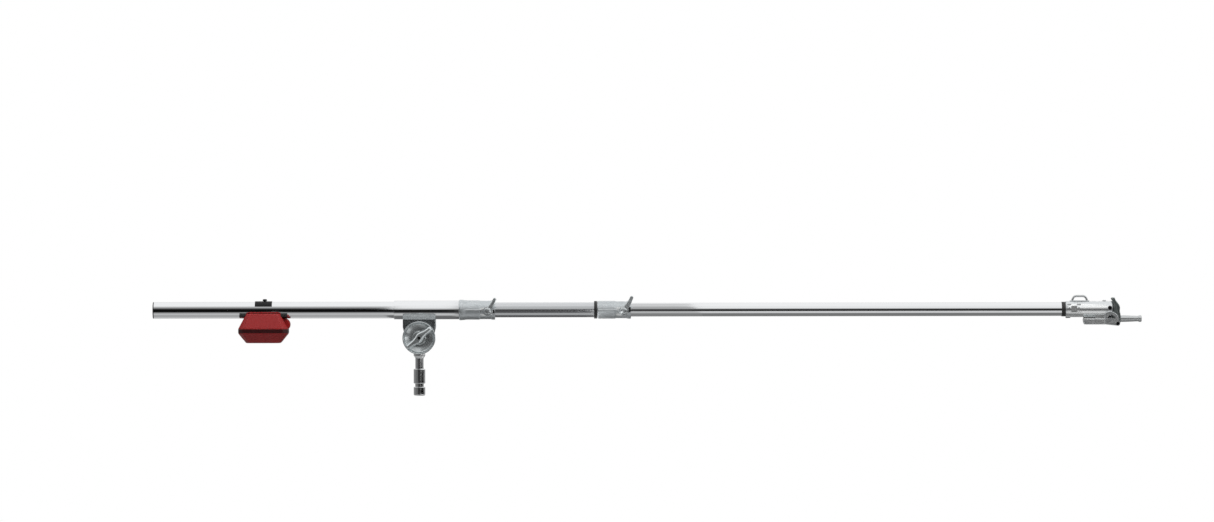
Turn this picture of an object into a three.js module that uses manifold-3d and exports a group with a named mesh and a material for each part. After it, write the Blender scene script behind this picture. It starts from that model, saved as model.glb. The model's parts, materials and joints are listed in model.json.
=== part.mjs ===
// A telescopic boom arm: a tilting three-section tube on a stand spigot, with a sliding counterweight
// and a combination head. Millimetres, +Z up, +X towards the head. The origin is the centre of the
// spigot's bottom face, and the boom's own pieces are drawn about the tubes' common axis.
import * as THREE from 'three';
import { mergeVertices } from 'three/addons/utils/BufferGeometryUtils.js';
import Module from 'manifold-3d';

const wasm = await Module();
wasm.setup();

// Gaps
const SEAT_GAP = 0.3;
const TUBE_CLEARANCE = 0.4;
const CUT_OVERRUN = 6;
const WELD_TOLERANCE = 0.0001;

// Faceting
const ROUND_SIDES = 28;
const MEDIUM_SIDES = 18;
const SMALL_SIDES = 12;
const WIRE_SIDES = 8;
const BALL_SIDES = 10;
const ARC_STEPS = 2;
const STRAP_STEPS = 14;
const CURVE_STEPS = 6;

// Where things lie along the boom, from the pivot
const PIVOT_HEIGHT = 140.5;
const BOOM_RISE = 67.5;
const SLEEVE_REAR_REACH = 61.5;
const SLEEVE_LENGTH = 158;
const REAR_TUBE_REACH = 583.5;
const MIDDLE_TUBE_REACH = 240.5;
const FRONT_TUBE_REACH = 1046.3;
const MIDDLE_TUBE_OVERLAP = 419.5;
const FRONT_TUBE_OVERLAP = 114;
const WEIGHT_DISTANCE = 378.5;

// Tubes
const REAR_TUBE_DIAMETER = 40;
const REAR_TUBE_WALL = 1.5;
const INNER_TUBE_WALL = 1.2;
const SLEEVE_WALL = 2.2;
const TUBE_CHAMFER = 0.5;

// Stand spigot, from its bottom face up
const SPIGOT_DIAMETER = 28;
const SPIGOT_FOOT_HEIGHT = 21;
const SPIGOT_FOOT_ROUND = 4;
const SPIGOT_GROOVE_HEIGHT = 8.5;
const SPIGOT_GROOVE_DIAMETER = 21;
const SPIGOT_BARREL_HEIGHT = 35.5;
const SPIGOT_NECK_HEIGHT = 26;
const SPIGOT_NECK_DIAMETER = 20;
const SPIGOT_COLLAR_HEIGHT = 11;
const SPIGOT_COLLAR_TAPER = 6;
const SPIGOT_CHAMFER = 2.2;
const TENON_DIAMETER = 16;
const TENON_HEIGHT = 20;
const SPIGOT_PIN_DIAMETER = 3.6;
const SPIGOT_PIN_LIFT = 4;

// Pivot block, friction discs, yoke and bolt
const EYE_DIAMETER = 68;
const EYE_WIDTH = 36;
const EYE_CHAMFER = 2;
const FOOT_DIAMETER = 26;
const FRICTION_DISC_THICKNESS = 2.6;
const FRICTION_DISC_DIAMETER = 64;
const CHEEK_THICKNESS = 5.8;
const YOKE_LENGTH = 79.4;
const YOKE_LUG_LENGTH = 54;
const YOKE_LUG_DEPTH = 9;
const YOKE_SHOULDER_DEPTH = 15;
const YOKE_SIDE_DEPTH = 42;
const YOKE_WEB_DEPTH = 28;
const YOKE_END_RADIUS = 36;
const YOKE_EDGE_ROUND = 1.2;
const TILT_BOLT_DIAMETER = 16;
const TILT_BOLT_HEAD_DIAMETER = 34;
const TILT_BOLT_HEAD_HEIGHT = 9;
const DOME_SHARES = [0.22, 0.44, 0.67, 0.89];
const THRUST_WASHER_DIAMETER = 32;
const THRUST_WASHER_THICKNESS = 2.5;

// Tilt knob, measured outwards from the back of its hub
const KNOB_DIAMETER = 80;
const KNOB_HUB_DIAMETER = 34;
const KNOB_HUB_HEIGHT = 5;
const KNOB_RIM_HEIGHT = 18;
const KNOB_RIM_WIDTH = 3;
const KNOB_EDGE_ROUND = 2.5;
const KNOB_DISH_FLOOR = 9.5;
const KNOB_BOSS_DIAMETER = 32;
const KNOB_BOSS_HEIGHT = 14.5;
const KNOB_BUSH_DIAMETER = 24;
const KNOB_BUSH_LENGTH = 12;
const KNOB_BAR_TOP = 24;
const KNOB_BAR_LENGTH = 81;
const KNOB_BAR_WIDTH = 14;
const KNOB_BAR_BULGE = 5;
const KNOB_BAR_BULGE_OFFSET = 5.5;
const KNOB_BAR_BULGE_SPREAD = 13;
const KNOB_BAR_ROUND = 2;
const KNOB_EYE_DIAMETER = 8;
const KNOB_BAR_ANGLE = 39;
const KNOB_BAR_STEPS = 12;

// Clamp collars and their levers
const REAR_COLLAR_BARREL = 50.2;
const FRONT_COLLAR_BARREL = 44.9;
const CLAMP_HEAD_LENGTH = 37;
const CLAMP_INSET = 17.5;
const CLAMP_DROP = 2.5;
const COLLAR_BARREL_WALL = 3.4;
const COLLAR_HEAD_WALL = 2.4;
const COLLAR_LIP_RISE = 1.4;
const COLLAR_LIP_LENGTH = 15;
const COLLAR_EDGE_ROUND = 1;
const COLLAR_RING_RISE = 1.2;
const COLLAR_RING_LENGTH = 7;
const COLLAR_SHOULDER = 1.5;
const COLLAR_BUSH_WALL = 1.7;
const COLLAR_BUSH_LENGTH = 9;
const CLAMP_BOSS_DIAMETER = 24;
const CLAMP_BOSS_RISE = 6;
const CLAMP_SCREW_DIAMETER = 10;
const CLAMP_SHOE_THICKNESS = 1.8;
const LEVER_HUB_DIAMETER = 17;
const LEVER_HUB_HEIGHT = 15;
const LEVER_HUB_DOME = 2;
const LEVER_BORE_DEPTH = 10;
const LEVER_THICKNESS = 7;
const LEVER_ROUND = 1.2;
const LEVER_ROOT_WIDTH = 12;
const LEVER_TIP_WIDTH = 8.4;
const REAR_LEVER_LENGTH = 37;
const FRONT_LEVER_LENGTH = 42;
const LEVER_ROOT_ANGLE = 55;
const LEVER_TIP_ANGLE = 66;
const LEVER_BEND_SHARE = 0.55;

// Rings, guides and plugs on the tubes
const MIDDLE_BUMPER_LENGTH = 7.3;
const MIDDLE_BUMPER_WALL = 3;
const FRONT_BUMPER_LENGTH = 9.7;
const FRONT_BUMPER_WALL = 1;
const BUMPER_ROUND = 0.6;
const GUIDE_RING_LENGTH = 8;
const END_CAP_FLANGE = 2.2;
const END_CAP_ROUND = 1;
const PLUG_DEPTH = 25;
const PLUG_WALL = 2;

// Head casting: places from its rear face, setbacks and overhangs from the receiver's mouth
const HEAD_DIAMETER = 39;
const HEAD_LENGTH = 112.7;
const HEAD_SOCKET_DEPTH = 35.7;
const HEAD_EDGE_ROUND = 1;
const RECEIVER_DIAMETER = 28.7;
const RECEIVER_DEPTH = 67;
const RECEIVER_CHAMFER = 1;
const POCKET_PLACES = [8, 31.4];
const POCKET_WIDTH = 9.6;
const POCKET_HEIGHT = 19.4;
const POCKET_LIFT = 2.3;
const POCKET_DEPTH = 2.2;
const SIDE_FLAT_START = 2;
const SIDE_FLAT_LENGTH = 35;
const SIDE_FLAT_DEPTH = 1.6;
const HEAD_SCREW_DIAMETER = 6.4;
const HEAD_SCREW_HEIGHT = 2;
const GRUB_BOSS_LENGTH = 11;
const GRUB_BOSS_WIDTH = 12;
const GRUB_BOSS_DROP = 2.1;
const LOOP_FEET = [16.5, 51.5];
const LOOP_WIRE = 5.5;
const LOOP_RISE = 31.7;
const LOOP_KNEE = 22;
const LOOP_LEAN = 2;
const LOOP_CORNER = 10.5;
const LOOP_FOOT_DEPTH = 2.6;
const LOOP_PAD_WIDTH = 12;
const LOOP_PAD_MARGIN = 6;
const LOOP_PAD_RISE = 1.7;
const LOOP_STEPS = 22;
const TOP_SCREW_SETBACK = 19;
const TOP_SCREW_DIAMETER = 9;
const TOP_SCREW_HEIGHT = 3;
const TOP_SCREW_SHANK = 4;
const TOP_SCREW_SEAT = 0.6;
const LATCH_SCREW_SETBACK = 6;
const LATCH_SCREW_LIFT = 3.2;
const LATCH_SCREW_DIAMETER = 9.5;
const LATCH_SCREW_HEIGHT = 3.6;
const LATCH_SCREW_SHANK = 4.4;
const LATCH_FACE_DEPTH = 2;
const BLOCK_SETBACK = 70;
const BLOCK_TOP = 23;
const BLOCK_BOTTOM = 37.4;
const BLOCK_WIDTH = 38;
const BLOCK_ROUND = 3;
const WEB_SETBACK = 41.1;
const WEB_LENGTH = 25.6;
const WEB_WIDTH = 34;
const RIB_WIDTH = 12;
const LUG_SETBACK = 18.7;
const LUG_THICKNESS = 5.5;
const LUG_INNER_GAP = 30;
const LUG_ROUND = 1;
const LUG_SHOULDER_DROP = 14;
const LUG_ARCH_DROP = 5.5;
const WINDOW_SETBACK = 13;
const WINDOW_LENGTH = 20.3;
const WINDOW_TOP = 13.4;
const WINDOW_END_DROP = 22.6;
const WINDOW_HEIGHT = 5.4;
const WINDOW_END_HEIGHT = 1.2;

// Pin arm and stud
const HINGE_OVERHANG = 13;
const HINGE_DROP = 35;
const HINGE_PIN_DIAMETER = 6.4;
const HINGE_PIN_HEAD = 9;
const HINGE_PIN_HEAD_HEIGHT = 2.4;
const KNUCKLE_DIAMETER = 11;
const ARM_WIDTH = 26;
const ARM_ROUND = 1.6;
const CLAW_BACK_SHARES = [[0.36, -1.3], [0.33, -1.12], [0.02, -1.02], [0.01, -0.5], [0.01, 0], [0.02, 0.46],
  [0.02, 0.71], [0.02, 0.96], [-0.03, 1.09], [-0.11, 1.22], [-0.14, 1.34], [-0.08, 1.42], [0.04, 1.46]];
const CLAW_FRONT_SHARES = [[0.18, 1.46], [0.28, 1.42], [0.32, 1.33], [0.34, 1.2], [0.51, 0.96], [0.72, 0.71],
  [0.87, 0.46], [0.94, 0.2], [0.92, -0.04], [0.9, -0.29], [0.97, -0.5], [1, -0.8], [1, -1.3]];
const STUD_DROP = 23.3;
const STUD_BOSS_DIAMETER = 20;
const STUD_BOSS_OVERHANG = 11.3;
const STUD_DIAMETER = 16;
const STUD_ROOT_OVERHANG = 20.3;
const STUD_LENGTH = 51.5;
const STUD_WAIST_DIAMETER = 13.6;
const STUD_TIP_LENGTH = 8;
const STUD_CHAMFER = 1;
const STUD_TANG_DIAMETER = 10;
const STUD_TANG_LENGTH = 8.2;

// Receiver lock on the far side
const LOCK_SETBACK = 35;
const LOCK_BOSS_DIAMETER = 19;
const LOCK_BOSS_REACH = 27;
const LOCK_SCREW_DIAMETER = 10;
const LOCK_HEAD_DIAMETER = 15;
const LOCK_HEAD_LENGTH = 13;
const LOCK_HEAD_STANDOFF = 6;
const LOCK_BAR_DIAMETER = 6;
const LOCK_BAR_LENGTH = 50;
const LOCK_BALL_DIAMETER = 8.6;

// Counterweight
const WEIGHT_TOP_LENGTH = 82;
const WEIGHT_WAIST_LENGTH = 120.6;
const WEIGHT_BOTTOM_LENGTH = 83;
const WEIGHT_TOP_DEPTH = 62;
const WEIGHT_WAIST_DEPTH = 90;
const WEIGHT_BOTTOM_DEPTH = 60;
const WEIGHT_TOP_DROP = 8.3;
const WEIGHT_WAIST_DROP = 45;
const WEIGHT_WAIST_HEIGHT = 11;
const WEIGHT_BOTTOM_DROP = 79.7;
const WEIGHT_CORNER = 11;
const WEIGHT_CORNER_SHARE = 0.7;
const WEIGHT_TROUGH_DIAMETER = 44;
const WEIGHT_EAR_DIAMETER = 31;
const WEIGHT_EAR_OFFSET = 49.5;
const WEIGHT_EAR_DROP = 34.5;
const WEIGHT_EAR_THICKNESS = 30;
const WEIGHT_EAR_ROUND = 3;
const RAIL_LENGTH = 116;
const RAIL_DROP = 11.5;
const RAIL_HEIGHT = 5;
const RAIL_REACH = 24.7;
const HOOK_WIDTH = 41.5;
const HOOK_THICKNESS = 1.6;
const HOOK_FRONT_ANGLE = 62;
const HOOK_DROP = 4.7;
const HOOK_BEND_RADIUS = 2.6;
const HOOK_LEG_LENGTH = 26;
const HOOK_SCREW_SPREAD = 24;
const HOOK_SCREW_DIAMETER = 8;
const HOOK_SCREW_HEIGHT = 2.8;
const HOOK_SCREW_SHANK = 4;
const HOOK_SCREW_SHANK_LENGTH = 9;
const HOOK_SCREW_PLACE = 14;
const WEIGHT_SCREW_OFFSET = 3;
const WEIGHT_SCREW_DIAMETER = 10.4;
const WEIGHT_SCREW_HEIGHT = 4.8;
const WEIGHT_SCREW_SHANK = 5;

// Sizes that follow from those above
const AXIS_HEIGHT = PIVOT_HEIGHT + BOOM_RISE;
const REAR_TUBE_RADIUS = REAR_TUBE_DIAMETER / 2;
const REAR_BORE_RADIUS = REAR_TUBE_RADIUS - REAR_TUBE_WALL;
const MIDDLE_TUBE_RADIUS = REAR_BORE_RADIUS - TUBE_CLEARANCE;
const MIDDLE_BORE_RADIUS = MIDDLE_TUBE_RADIUS - INNER_TUBE_WALL;
const FRONT_TUBE_RADIUS = MIDDLE_BORE_RADIUS - TUBE_CLEARANCE;
const FRONT_BORE_RADIUS = FRONT_TUBE_RADIUS - INNER_TUBE_WALL;
const SLEEVE_RADIUS = REAR_TUBE_RADIUS + SEAT_GAP + SLEEVE_WALL;
const SLEEVE_END = SLEEVE_LENGTH - SLEEVE_REAR_REACH;
const REAR_TUBE_START = -SLEEVE_REAR_REACH - REAR_TUBE_REACH;
const REAR_COLLAR_START = SLEEVE_END + SEAT_GAP;
const REAR_COLLAR_STEP = REAR_COLLAR_START + REAR_COLLAR_BARREL;
const REAR_COLLAR_END = REAR_COLLAR_STEP + CLAMP_HEAD_LENGTH;
const MIDDLE_BUMPER_START = REAR_COLLAR_END + MIDDLE_TUBE_REACH;
const FRONT_COLLAR_START = MIDDLE_BUMPER_START + MIDDLE_BUMPER_LENGTH + SEAT_GAP;
const FRONT_COLLAR_STEP = FRONT_COLLAR_START + FRONT_COLLAR_BARREL;
const FRONT_COLLAR_END = FRONT_COLLAR_STEP + CLAMP_HEAD_LENGTH;
const FRONT_BUMPER_START = FRONT_COLLAR_END + FRONT_TUBE_REACH;
const HEAD_START = FRONT_BUMPER_START + FRONT_BUMPER_LENGTH + SEAT_GAP;
const FRONT_TUBE_END = HEAD_START + HEAD_SOCKET_DEPTH;
const MIDDLE_TUBE_END = FRONT_COLLAR_STEP - COLLAR_SHOULDER;
const CHEEK_INNER = EYE_WIDTH / 2 + FRICTION_DISC_THICKNESS + 2 * SEAT_GAP;
const CHEEK_OUTER = CHEEK_INNER + CHEEK_THICKNESS;
const KNOB_BACK = CHEEK_OUTER + THRUST_WASHER_THICKNESS + 2 * SEAT_GAP;
const TOP_SCREW_PLACE = HEAD_LENGTH - TOP_SCREW_SETBACK;
const LATCH_SCREW_PLACE = HEAD_LENGTH - LATCH_SCREW_SETBACK;
const BLOCK_START = HEAD_LENGTH - BLOCK_SETBACK;
const WEB_START = HEAD_LENGTH - WEB_SETBACK;
const LUG_START = HEAD_LENGTH - LUG_SETBACK;
const WINDOW_START = HEAD_LENGTH - WINDOW_SETBACK;
const LOCK_PLACE = HEAD_LENGTH - LOCK_SETBACK;
const HINGE_PLACE = HEAD_LENGTH + HINGE_OVERHANG;
const STUD_BOSS_START = HEAD_LENGTH + STUD_BOSS_OVERHANG;
const STUD_ROOT = HEAD_LENGTH + STUD_ROOT_OVERHANG;

// Axis turns for shapes that three.js makes about Y
const TURN_TO_AXIS = {
  x: new THREE.Matrix4().makeRotationZ(-Math.PI / 2),
  y: new THREE.Matrix4(),
  z: new THREE.Matrix4().makeRotationX(Math.PI / 2),
};

// A closed three.js geometry as a solid with shared vertices
function toSolid(geometry) {
  const bare = geometry.clone();
  bare.deleteAttribute('normal');
  bare.deleteAttribute('uv');
  const merged = mergeVertices(bare, WELD_TOLERANCE);
  const corners = merged.index.array;
  const triangles = [];
  for (let i = 0; i < corners.length; i += 3) {
    const [a, b, c] = corners.slice(i, i + 3);
    if (a !== b && b !== c && c !== a) triangles.push(a, b, c);
  }
  return new wasm.Manifold(new wasm.Mesh({
    numProp: 3,
    vertProperties: merged.attributes.position.array,
    triVerts: Uint32Array.from(triangles),
  }));
}

function toGeometry(body) {
  const mesh = body.getMesh();
  const geometry = new THREE.BufferGeometry();
  geometry.setAttribute('position', new THREE.BufferAttribute(new Float32Array(mesh.vertProperties), 3));
  geometry.setIndex(new THREE.BufferAttribute(new Uint32Array(mesh.triVerts), 1));
  return geometry;
}

function join(...geometries) {
  return toGeometry(geometries.map(toSolid).reduce((whole, piece) => whole.add(piece)));
}

function cut(base, ...tools) {
  return toGeometry(tools.map(toSolid).reduce((whole, tool) => whole.subtract(tool), toSolid(base)));
}

// A profile of [radius, place along the axis] points, turned about an axis
function turned(axis, profile, sides = ROUND_SIDES) {
  const points = profile.map(([radius, along]) => new THREE.Vector2(radius, along));
  if (THREE.ShapeUtils.area(points) < 0) points.reverse();
  if (points.some((point) => point.x === 0)) {
    while (points[0].x !== 0 || points[points.length - 1].x !== 0) points.push(points.shift());
  } else {
    points.push(points[0].clone());
  }
  return new THREE.LatheGeometry(points, sides).applyMatrix4(TURN_TO_AXIS[axis]);
}

function rod(axis, radius, start, end, sides = MEDIUM_SIDES, chamfer = 0) {
  const profile = [[0, start], [radius - chamfer, start], [radius, start + chamfer],
    [radius, end - chamfer], [radius - chamfer, end], [0, end]];
  const plain = [[0, start], [radius, start], [radius, end], [0, end]];
  return turned(axis, chamfer > 0 ? profile : plain, sides);
}

function tube(axis, radius, bore, start, end, chamfer = 0, sides = ROUND_SIDES) {
  const profile = [[bore, start], [radius - chamfer, start], [radius, start + chamfer],
    [radius, end - chamfer], [radius - chamfer, end], [bore, end]];
  const plain = [[bore, start], [radius, start], [radius, end], [bore, end]];
  return turned(axis, chamfer > 0 ? profile : plain, sides);
}

// Points of an arc in a profile, from one angle to another in degrees
function arc(centreX, centreY, radius, from, to, steps = ARC_STEPS) {
  return Array.from({ length: steps + 1 }, (_, i) => {
    const angle = THREE.MathUtils.degToRad(from + (to - from) * i / steps);
    return [centreX + radius * Math.cos(angle), centreY + radius * Math.sin(angle)];
  });
}

function outline(points) {
  return new THREE.Shape(points.map(([x, y]) => new THREE.Vector2(x, y)));
}

// An X-Z outline extruded along Y, centred, with its edges rounded by `round`
function slab(shape, width, round = 0) {
  const geometry = new THREE.ExtrudeGeometry(shape, {
    depth: width - 2 * round,
    bevelEnabled: round > 0,
    bevelThickness: round,
    bevelSize: round,
    bevelOffset: -round,
    bevelSegments: 1,
    curveSegments: CURVE_STEPS,
  });
  return geometry.rotateX(Math.PI / 2).translate(0, (width - 2 * round) / 2, 0);
}

// A Y-Z outline extruded along X, centred
function bar(shape, length) {
  const geometry = new THREE.ExtrudeGeometry(shape, { depth: length, bevelEnabled: false });
  const turn = new THREE.Matrix4().makeBasis(new THREE.Vector3(0, 1, 0), new THREE.Vector3(0, 0, 1),
    new THREE.Vector3(1, 0, 0));
  return geometry.applyMatrix4(turn).translate(-length / 2, 0, 0);
}

// A box from its low corner to its high corner
function box(low, high) {
  const size = high.map((value, i) => value - low[i]);
  return new THREE.BoxGeometry(...size).translate(...low.map((value, i) => value + size[i] / 2));
}

// A strip along a centre line of [x, y] points, with a half width for each
function strip(points, halfWidths) {
  const line = points.map(([x, y]) => new THREE.Vector2(x, y));
  const left = [];
  const right = [];
  line.forEach((point, i) => {
    const before = line[Math.max(i - 1, 0)];
    const after = line[Math.min(i + 1, line.length - 1)];
    const along = after.clone().sub(before).normalize();
    const across = new THREE.Vector2(-along.y, along.x).multiplyScalar(halfWidths[i]);
    left.push(point.clone().add(across));
    right.unshift(point.clone().sub(across));
  });
  return new THREE.Shape([...left, ...right]);
}

const FINISHES = {
  chrome: { color: 0xd8dcde, roughness: 0.18, metalness: 1 },
  steel: { color: 0xb4b8ba, roughness: 0.35, metalness: 1 },
  castAluminium: { color: 0xb9bfc2, roughness: 0.42, metalness: 0.9 },
  darkCasting: { color: 0x4b5254, roughness: 0.5, metalness: 0.6 },
  darkSteel: { color: 0x2c2f31, roughness: 0.4, metalness: 0.8 },
  redEnamel: { color: 0x8c1d18, roughness: 0.3, metalness: 0 },
  blackSteel: { color: 0x141414, roughness: 0.45, metalness: 0.3 },
  rubber: { color: 0x121212, roughness: 0.85, metalness: 0 },
  plastic: { color: 0x1b1b1c, roughness: 0.5, metalness: 0 },
  nylon: { color: 0xd9d6cc, roughness: 0.6, metalness: 0 },
  friction: { color: 0x5a4a3c, roughness: 0.9, metalness: 0 },
};

function piece(name, geometry, finish) {
  const clean = join(geometry);
  const mesh = new THREE.Mesh(clean.toNonIndexed(), new THREE.MeshStandardMaterial(FINISHES[finish]));
  mesh.geometry.computeVertexNormals();
  mesh.name = name;
  return mesh;
}

// Stand spigot with a locking groove, a neck, a collar and a tenon
function standSpigot() {
  const radius = SPIGOT_DIAMETER / 2;
  const grooveTop = SPIGOT_FOOT_HEIGHT + SPIGOT_GROOVE_HEIGHT;
  const barrelTop = grooveTop + SPIGOT_BARREL_HEIGHT;
  const neckTop = barrelTop + SPIGOT_NECK_HEIGHT;
  const collarTop = neckTop + SPIGOT_COLLAR_HEIGHT;
  const spigot = turned('z', [
    [0, 0],
    ...arc(radius - SPIGOT_FOOT_ROUND, SPIGOT_FOOT_ROUND, SPIGOT_FOOT_ROUND, -90, 0),
    [radius, SPIGOT_FOOT_HEIGHT - SPIGOT_CHAMFER],
    [radius - SPIGOT_CHAMFER, SPIGOT_FOOT_HEIGHT],
    [SPIGOT_GROOVE_DIAMETER / 2, SPIGOT_FOOT_HEIGHT],
    [SPIGOT_GROOVE_DIAMETER / 2, grooveTop],
    [radius - SPIGOT_CHAMFER, grooveTop],
    [radius, grooveTop + SPIGOT_CHAMFER],
    [radius, barrelTop - SPIGOT_CHAMFER],
    [radius - SPIGOT_CHAMFER, barrelTop],
    [SPIGOT_NECK_DIAMETER / 2, barrelTop],
    [SPIGOT_NECK_DIAMETER / 2, neckTop],
    [radius, neckTop + SPIGOT_COLLAR_TAPER],
    [radius, collarTop],
    [TENON_DIAMETER / 2, collarTop],
    [TENON_DIAMETER / 2, collarTop + TENON_HEIGHT],
    [0, collarTop + TENON_HEIGHT],
  ]);
  const pinHole = rod('y', SPIGOT_PIN_DIAMETER / 2 + SEAT_GAP, -radius - CUT_OVERRUN, radius + CUT_OVERRUN,
    SMALL_SIDES).translate(0, 0, collarTop + SPIGOT_PIN_LIFT);
  return { solid: cut(spigot, pinHole), collarTop };
}

// The eye that the boom tilts on, with a socket for the tenon
function pivotBlock(collarTop) {
  const eye = rod('y', EYE_DIAMETER / 2, -EYE_WIDTH / 2, EYE_WIDTH / 2, ROUND_SIDES, EYE_CHAMFER)
    .translate(0, 0, PIVOT_HEIGHT);
  const footStart = collarTop + SEAT_GAP;
  const foot = rod('z', FOOT_DIAMETER / 2, footStart, PIVOT_HEIGHT - TILT_BOLT_DIAMETER, MEDIUM_SIDES);
  const boltBore = rod('y', TILT_BOLT_DIAMETER / 2 + SEAT_GAP, -EYE_WIDTH, EYE_WIDTH)
    .translate(0, 0, PIVOT_HEIGHT);
  const socket = rod('z', TENON_DIAMETER / 2 + SEAT_GAP, footStart - CUT_OVERRUN,
    collarTop + TENON_HEIGHT + SEAT_GAP);
  const pinHole = rod('y', SPIGOT_PIN_DIAMETER / 2 + SEAT_GAP, -EYE_WIDTH, EYE_WIDTH, SMALL_SIDES)
    .translate(0, 0, collarTop + SPIGOT_PIN_LIFT);
  return cut(join(eye, foot), boltBore, socket, pinHole);
}

function standParts() {
  const { solid, collarTop } = standSpigot();
  const pinLength = FOOT_DIAMETER - 2 * SEAT_GAP;
  const pin = rod('y', SPIGOT_PIN_DIAMETER / 2, -pinLength / 2, pinLength / 2, SMALL_SIDES)
    .translate(0, 0, collarTop + SPIGOT_PIN_LIFT);
  return [
    piece('stand_spigot', solid, 'steel'),
    piece('pivot_block', pivotBlock(collarTop), 'castAluminium'),
    piece('spigot_pin', pin, 'darkSteel'),
  ];
}

// The yoke: a saddle under the sleeve and two cheeks that straddle the pivot block
function yoke() {
  const half = YOKE_LENGTH / 2;
  const lug = YOKE_LUG_LENGTH / 2;
  const waist = (YOKE_SIDE_DEPTH + BOOM_RISE) / 2;
  const shape = new THREE.Shape();
  shape.moveTo(-lug, -YOKE_LUG_DEPTH);
  shape.lineTo(lug, -YOKE_LUG_DEPTH);
  shape.quadraticCurveTo(half, -YOKE_LUG_DEPTH, half, -YOKE_SHOULDER_DEPTH);
  shape.lineTo(half, -YOKE_SIDE_DEPTH);
  shape.quadraticCurveTo(YOKE_END_RADIUS, -waist, YOKE_END_RADIUS, -BOOM_RISE);
  shape.absarc(0, -BOOM_RISE, YOKE_END_RADIUS, 0, -Math.PI, true);
  shape.quadraticCurveTo(-YOKE_END_RADIUS, -waist, -half, -YOKE_SIDE_DEPTH);
  shape.lineTo(-half, -YOKE_SHOULDER_DEPTH);
  shape.quadraticCurveTo(-half, -YOKE_LUG_DEPTH, -lug, -YOKE_LUG_DEPTH);
  const body = slab(shape, 2 * CHEEK_OUTER, YOKE_EDGE_ROUND);
  const slot = box([-half - CUT_OVERRUN, -CHEEK_INNER, -BOOM_RISE - YOKE_END_RADIUS - CUT_OVERRUN],
    [half + CUT_OVERRUN, CHEEK_INNER, -YOKE_WEB_DEPTH]);
  const sleeveSeat = rod('x', SLEEVE_RADIUS + SEAT_GAP, -half - CUT_OVERRUN, half + CUT_OVERRUN,
    ROUND_SIDES);
  const boltHole = rod('y', TILT_BOLT_DIAMETER / 2 + SEAT_GAP, -CHEEK_OUTER - CUT_OVERRUN, 0)
    .translate(0, 0, -BOOM_RISE);
  const squareHalf = TILT_BOLT_DIAMETER / 2 + SEAT_GAP;
  const squareHole = box([-squareHalf, 0, -BOOM_RISE - squareHalf],
    [squareHalf, CHEEK_OUTER + CUT_OVERRUN, -BOOM_RISE + squareHalf]);
  return cut(body, slot, sleeveSeat, boltHole, squareHole);
}

// Coach bolt: domed head behind the rear cheek, square neck in it, shank through to the knob
function tiltBolt() {
  const radius = TILT_BOLT_DIAMETER / 2;
  const headBack = CHEEK_OUTER + SEAT_GAP;
  const domeRadius = TILT_BOLT_HEAD_DIAMETER / 2;
  const dome = turned('y', [[0, headBack], [domeRadius, headBack],
    ...DOME_SHARES.map((share) => {
      const angle = share * Math.PI / 2;
      return [domeRadius * Math.cos(angle), headBack + TILT_BOLT_HEAD_HEIGHT * Math.sin(angle)];
    }),
    [0, headBack + TILT_BOLT_HEAD_HEIGHT]], MEDIUM_SIDES);
  const neck = box([-radius, CHEEK_INNER + SEAT_GAP, -radius], [radius, headBack + TUBE_CHAMFER, radius]);
  const shank = rod('y', radius, -KNOB_BACK - KNOB_BUSH_LENGTH, CHEEK_OUTER, MEDIUM_SIDES);
  return join(dome, neck, shank).translate(0, 0, -BOOM_RISE);
}

function frictionDisc(side) {
  const inner = EYE_WIDTH / 2 + SEAT_GAP;
  const disc = tube('y', FRICTION_DISC_DIAMETER / 2, TILT_BOLT_DIAMETER / 2 + SEAT_GAP, inner,
    inner + FRICTION_DISC_THICKNESS);
  return side < 0 ? disc.rotateZ(Math.PI).translate(0, 0, -BOOM_RISE) : disc.translate(0, 0, -BOOM_RISE);
}

function thrustWasher() {
  const start = -CHEEK_OUTER - SEAT_GAP - THRUST_WASHER_THICKNESS;
  return tube('y', THRUST_WASHER_DIAMETER / 2, TILT_BOLT_DIAMETER / 2 + SEAT_GAP, start,
    start + THRUST_WASHER_THICKNESS, TUBE_CHAMFER, MEDIUM_SIDES).translate(0, 0, -BOOM_RISE);
}

// The S-shaped grip bar: each edge bulges beside the hub, one to each side of it
function knobBarShape() {
  const half = KNOB_BAR_LENGTH / 2;
  const bulge = (along) => KNOB_BAR_BULGE * Math.exp(-((along / KNOB_BAR_BULGE_SPREAD) ** 2));
  const edge = (side) => Array.from({ length: KNOB_BAR_STEPS + 1 }, (_, i) => {
    const along = side * half * (1 - 2 * i / KNOB_BAR_STEPS);
    const width = KNOB_BAR_WIDTH / 2 + bulge(along + side * KNOB_BAR_BULGE_OFFSET);
    return [along, side * width];
  });
  return outline([...edge(1), ...edge(-1)]);
}

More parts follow.
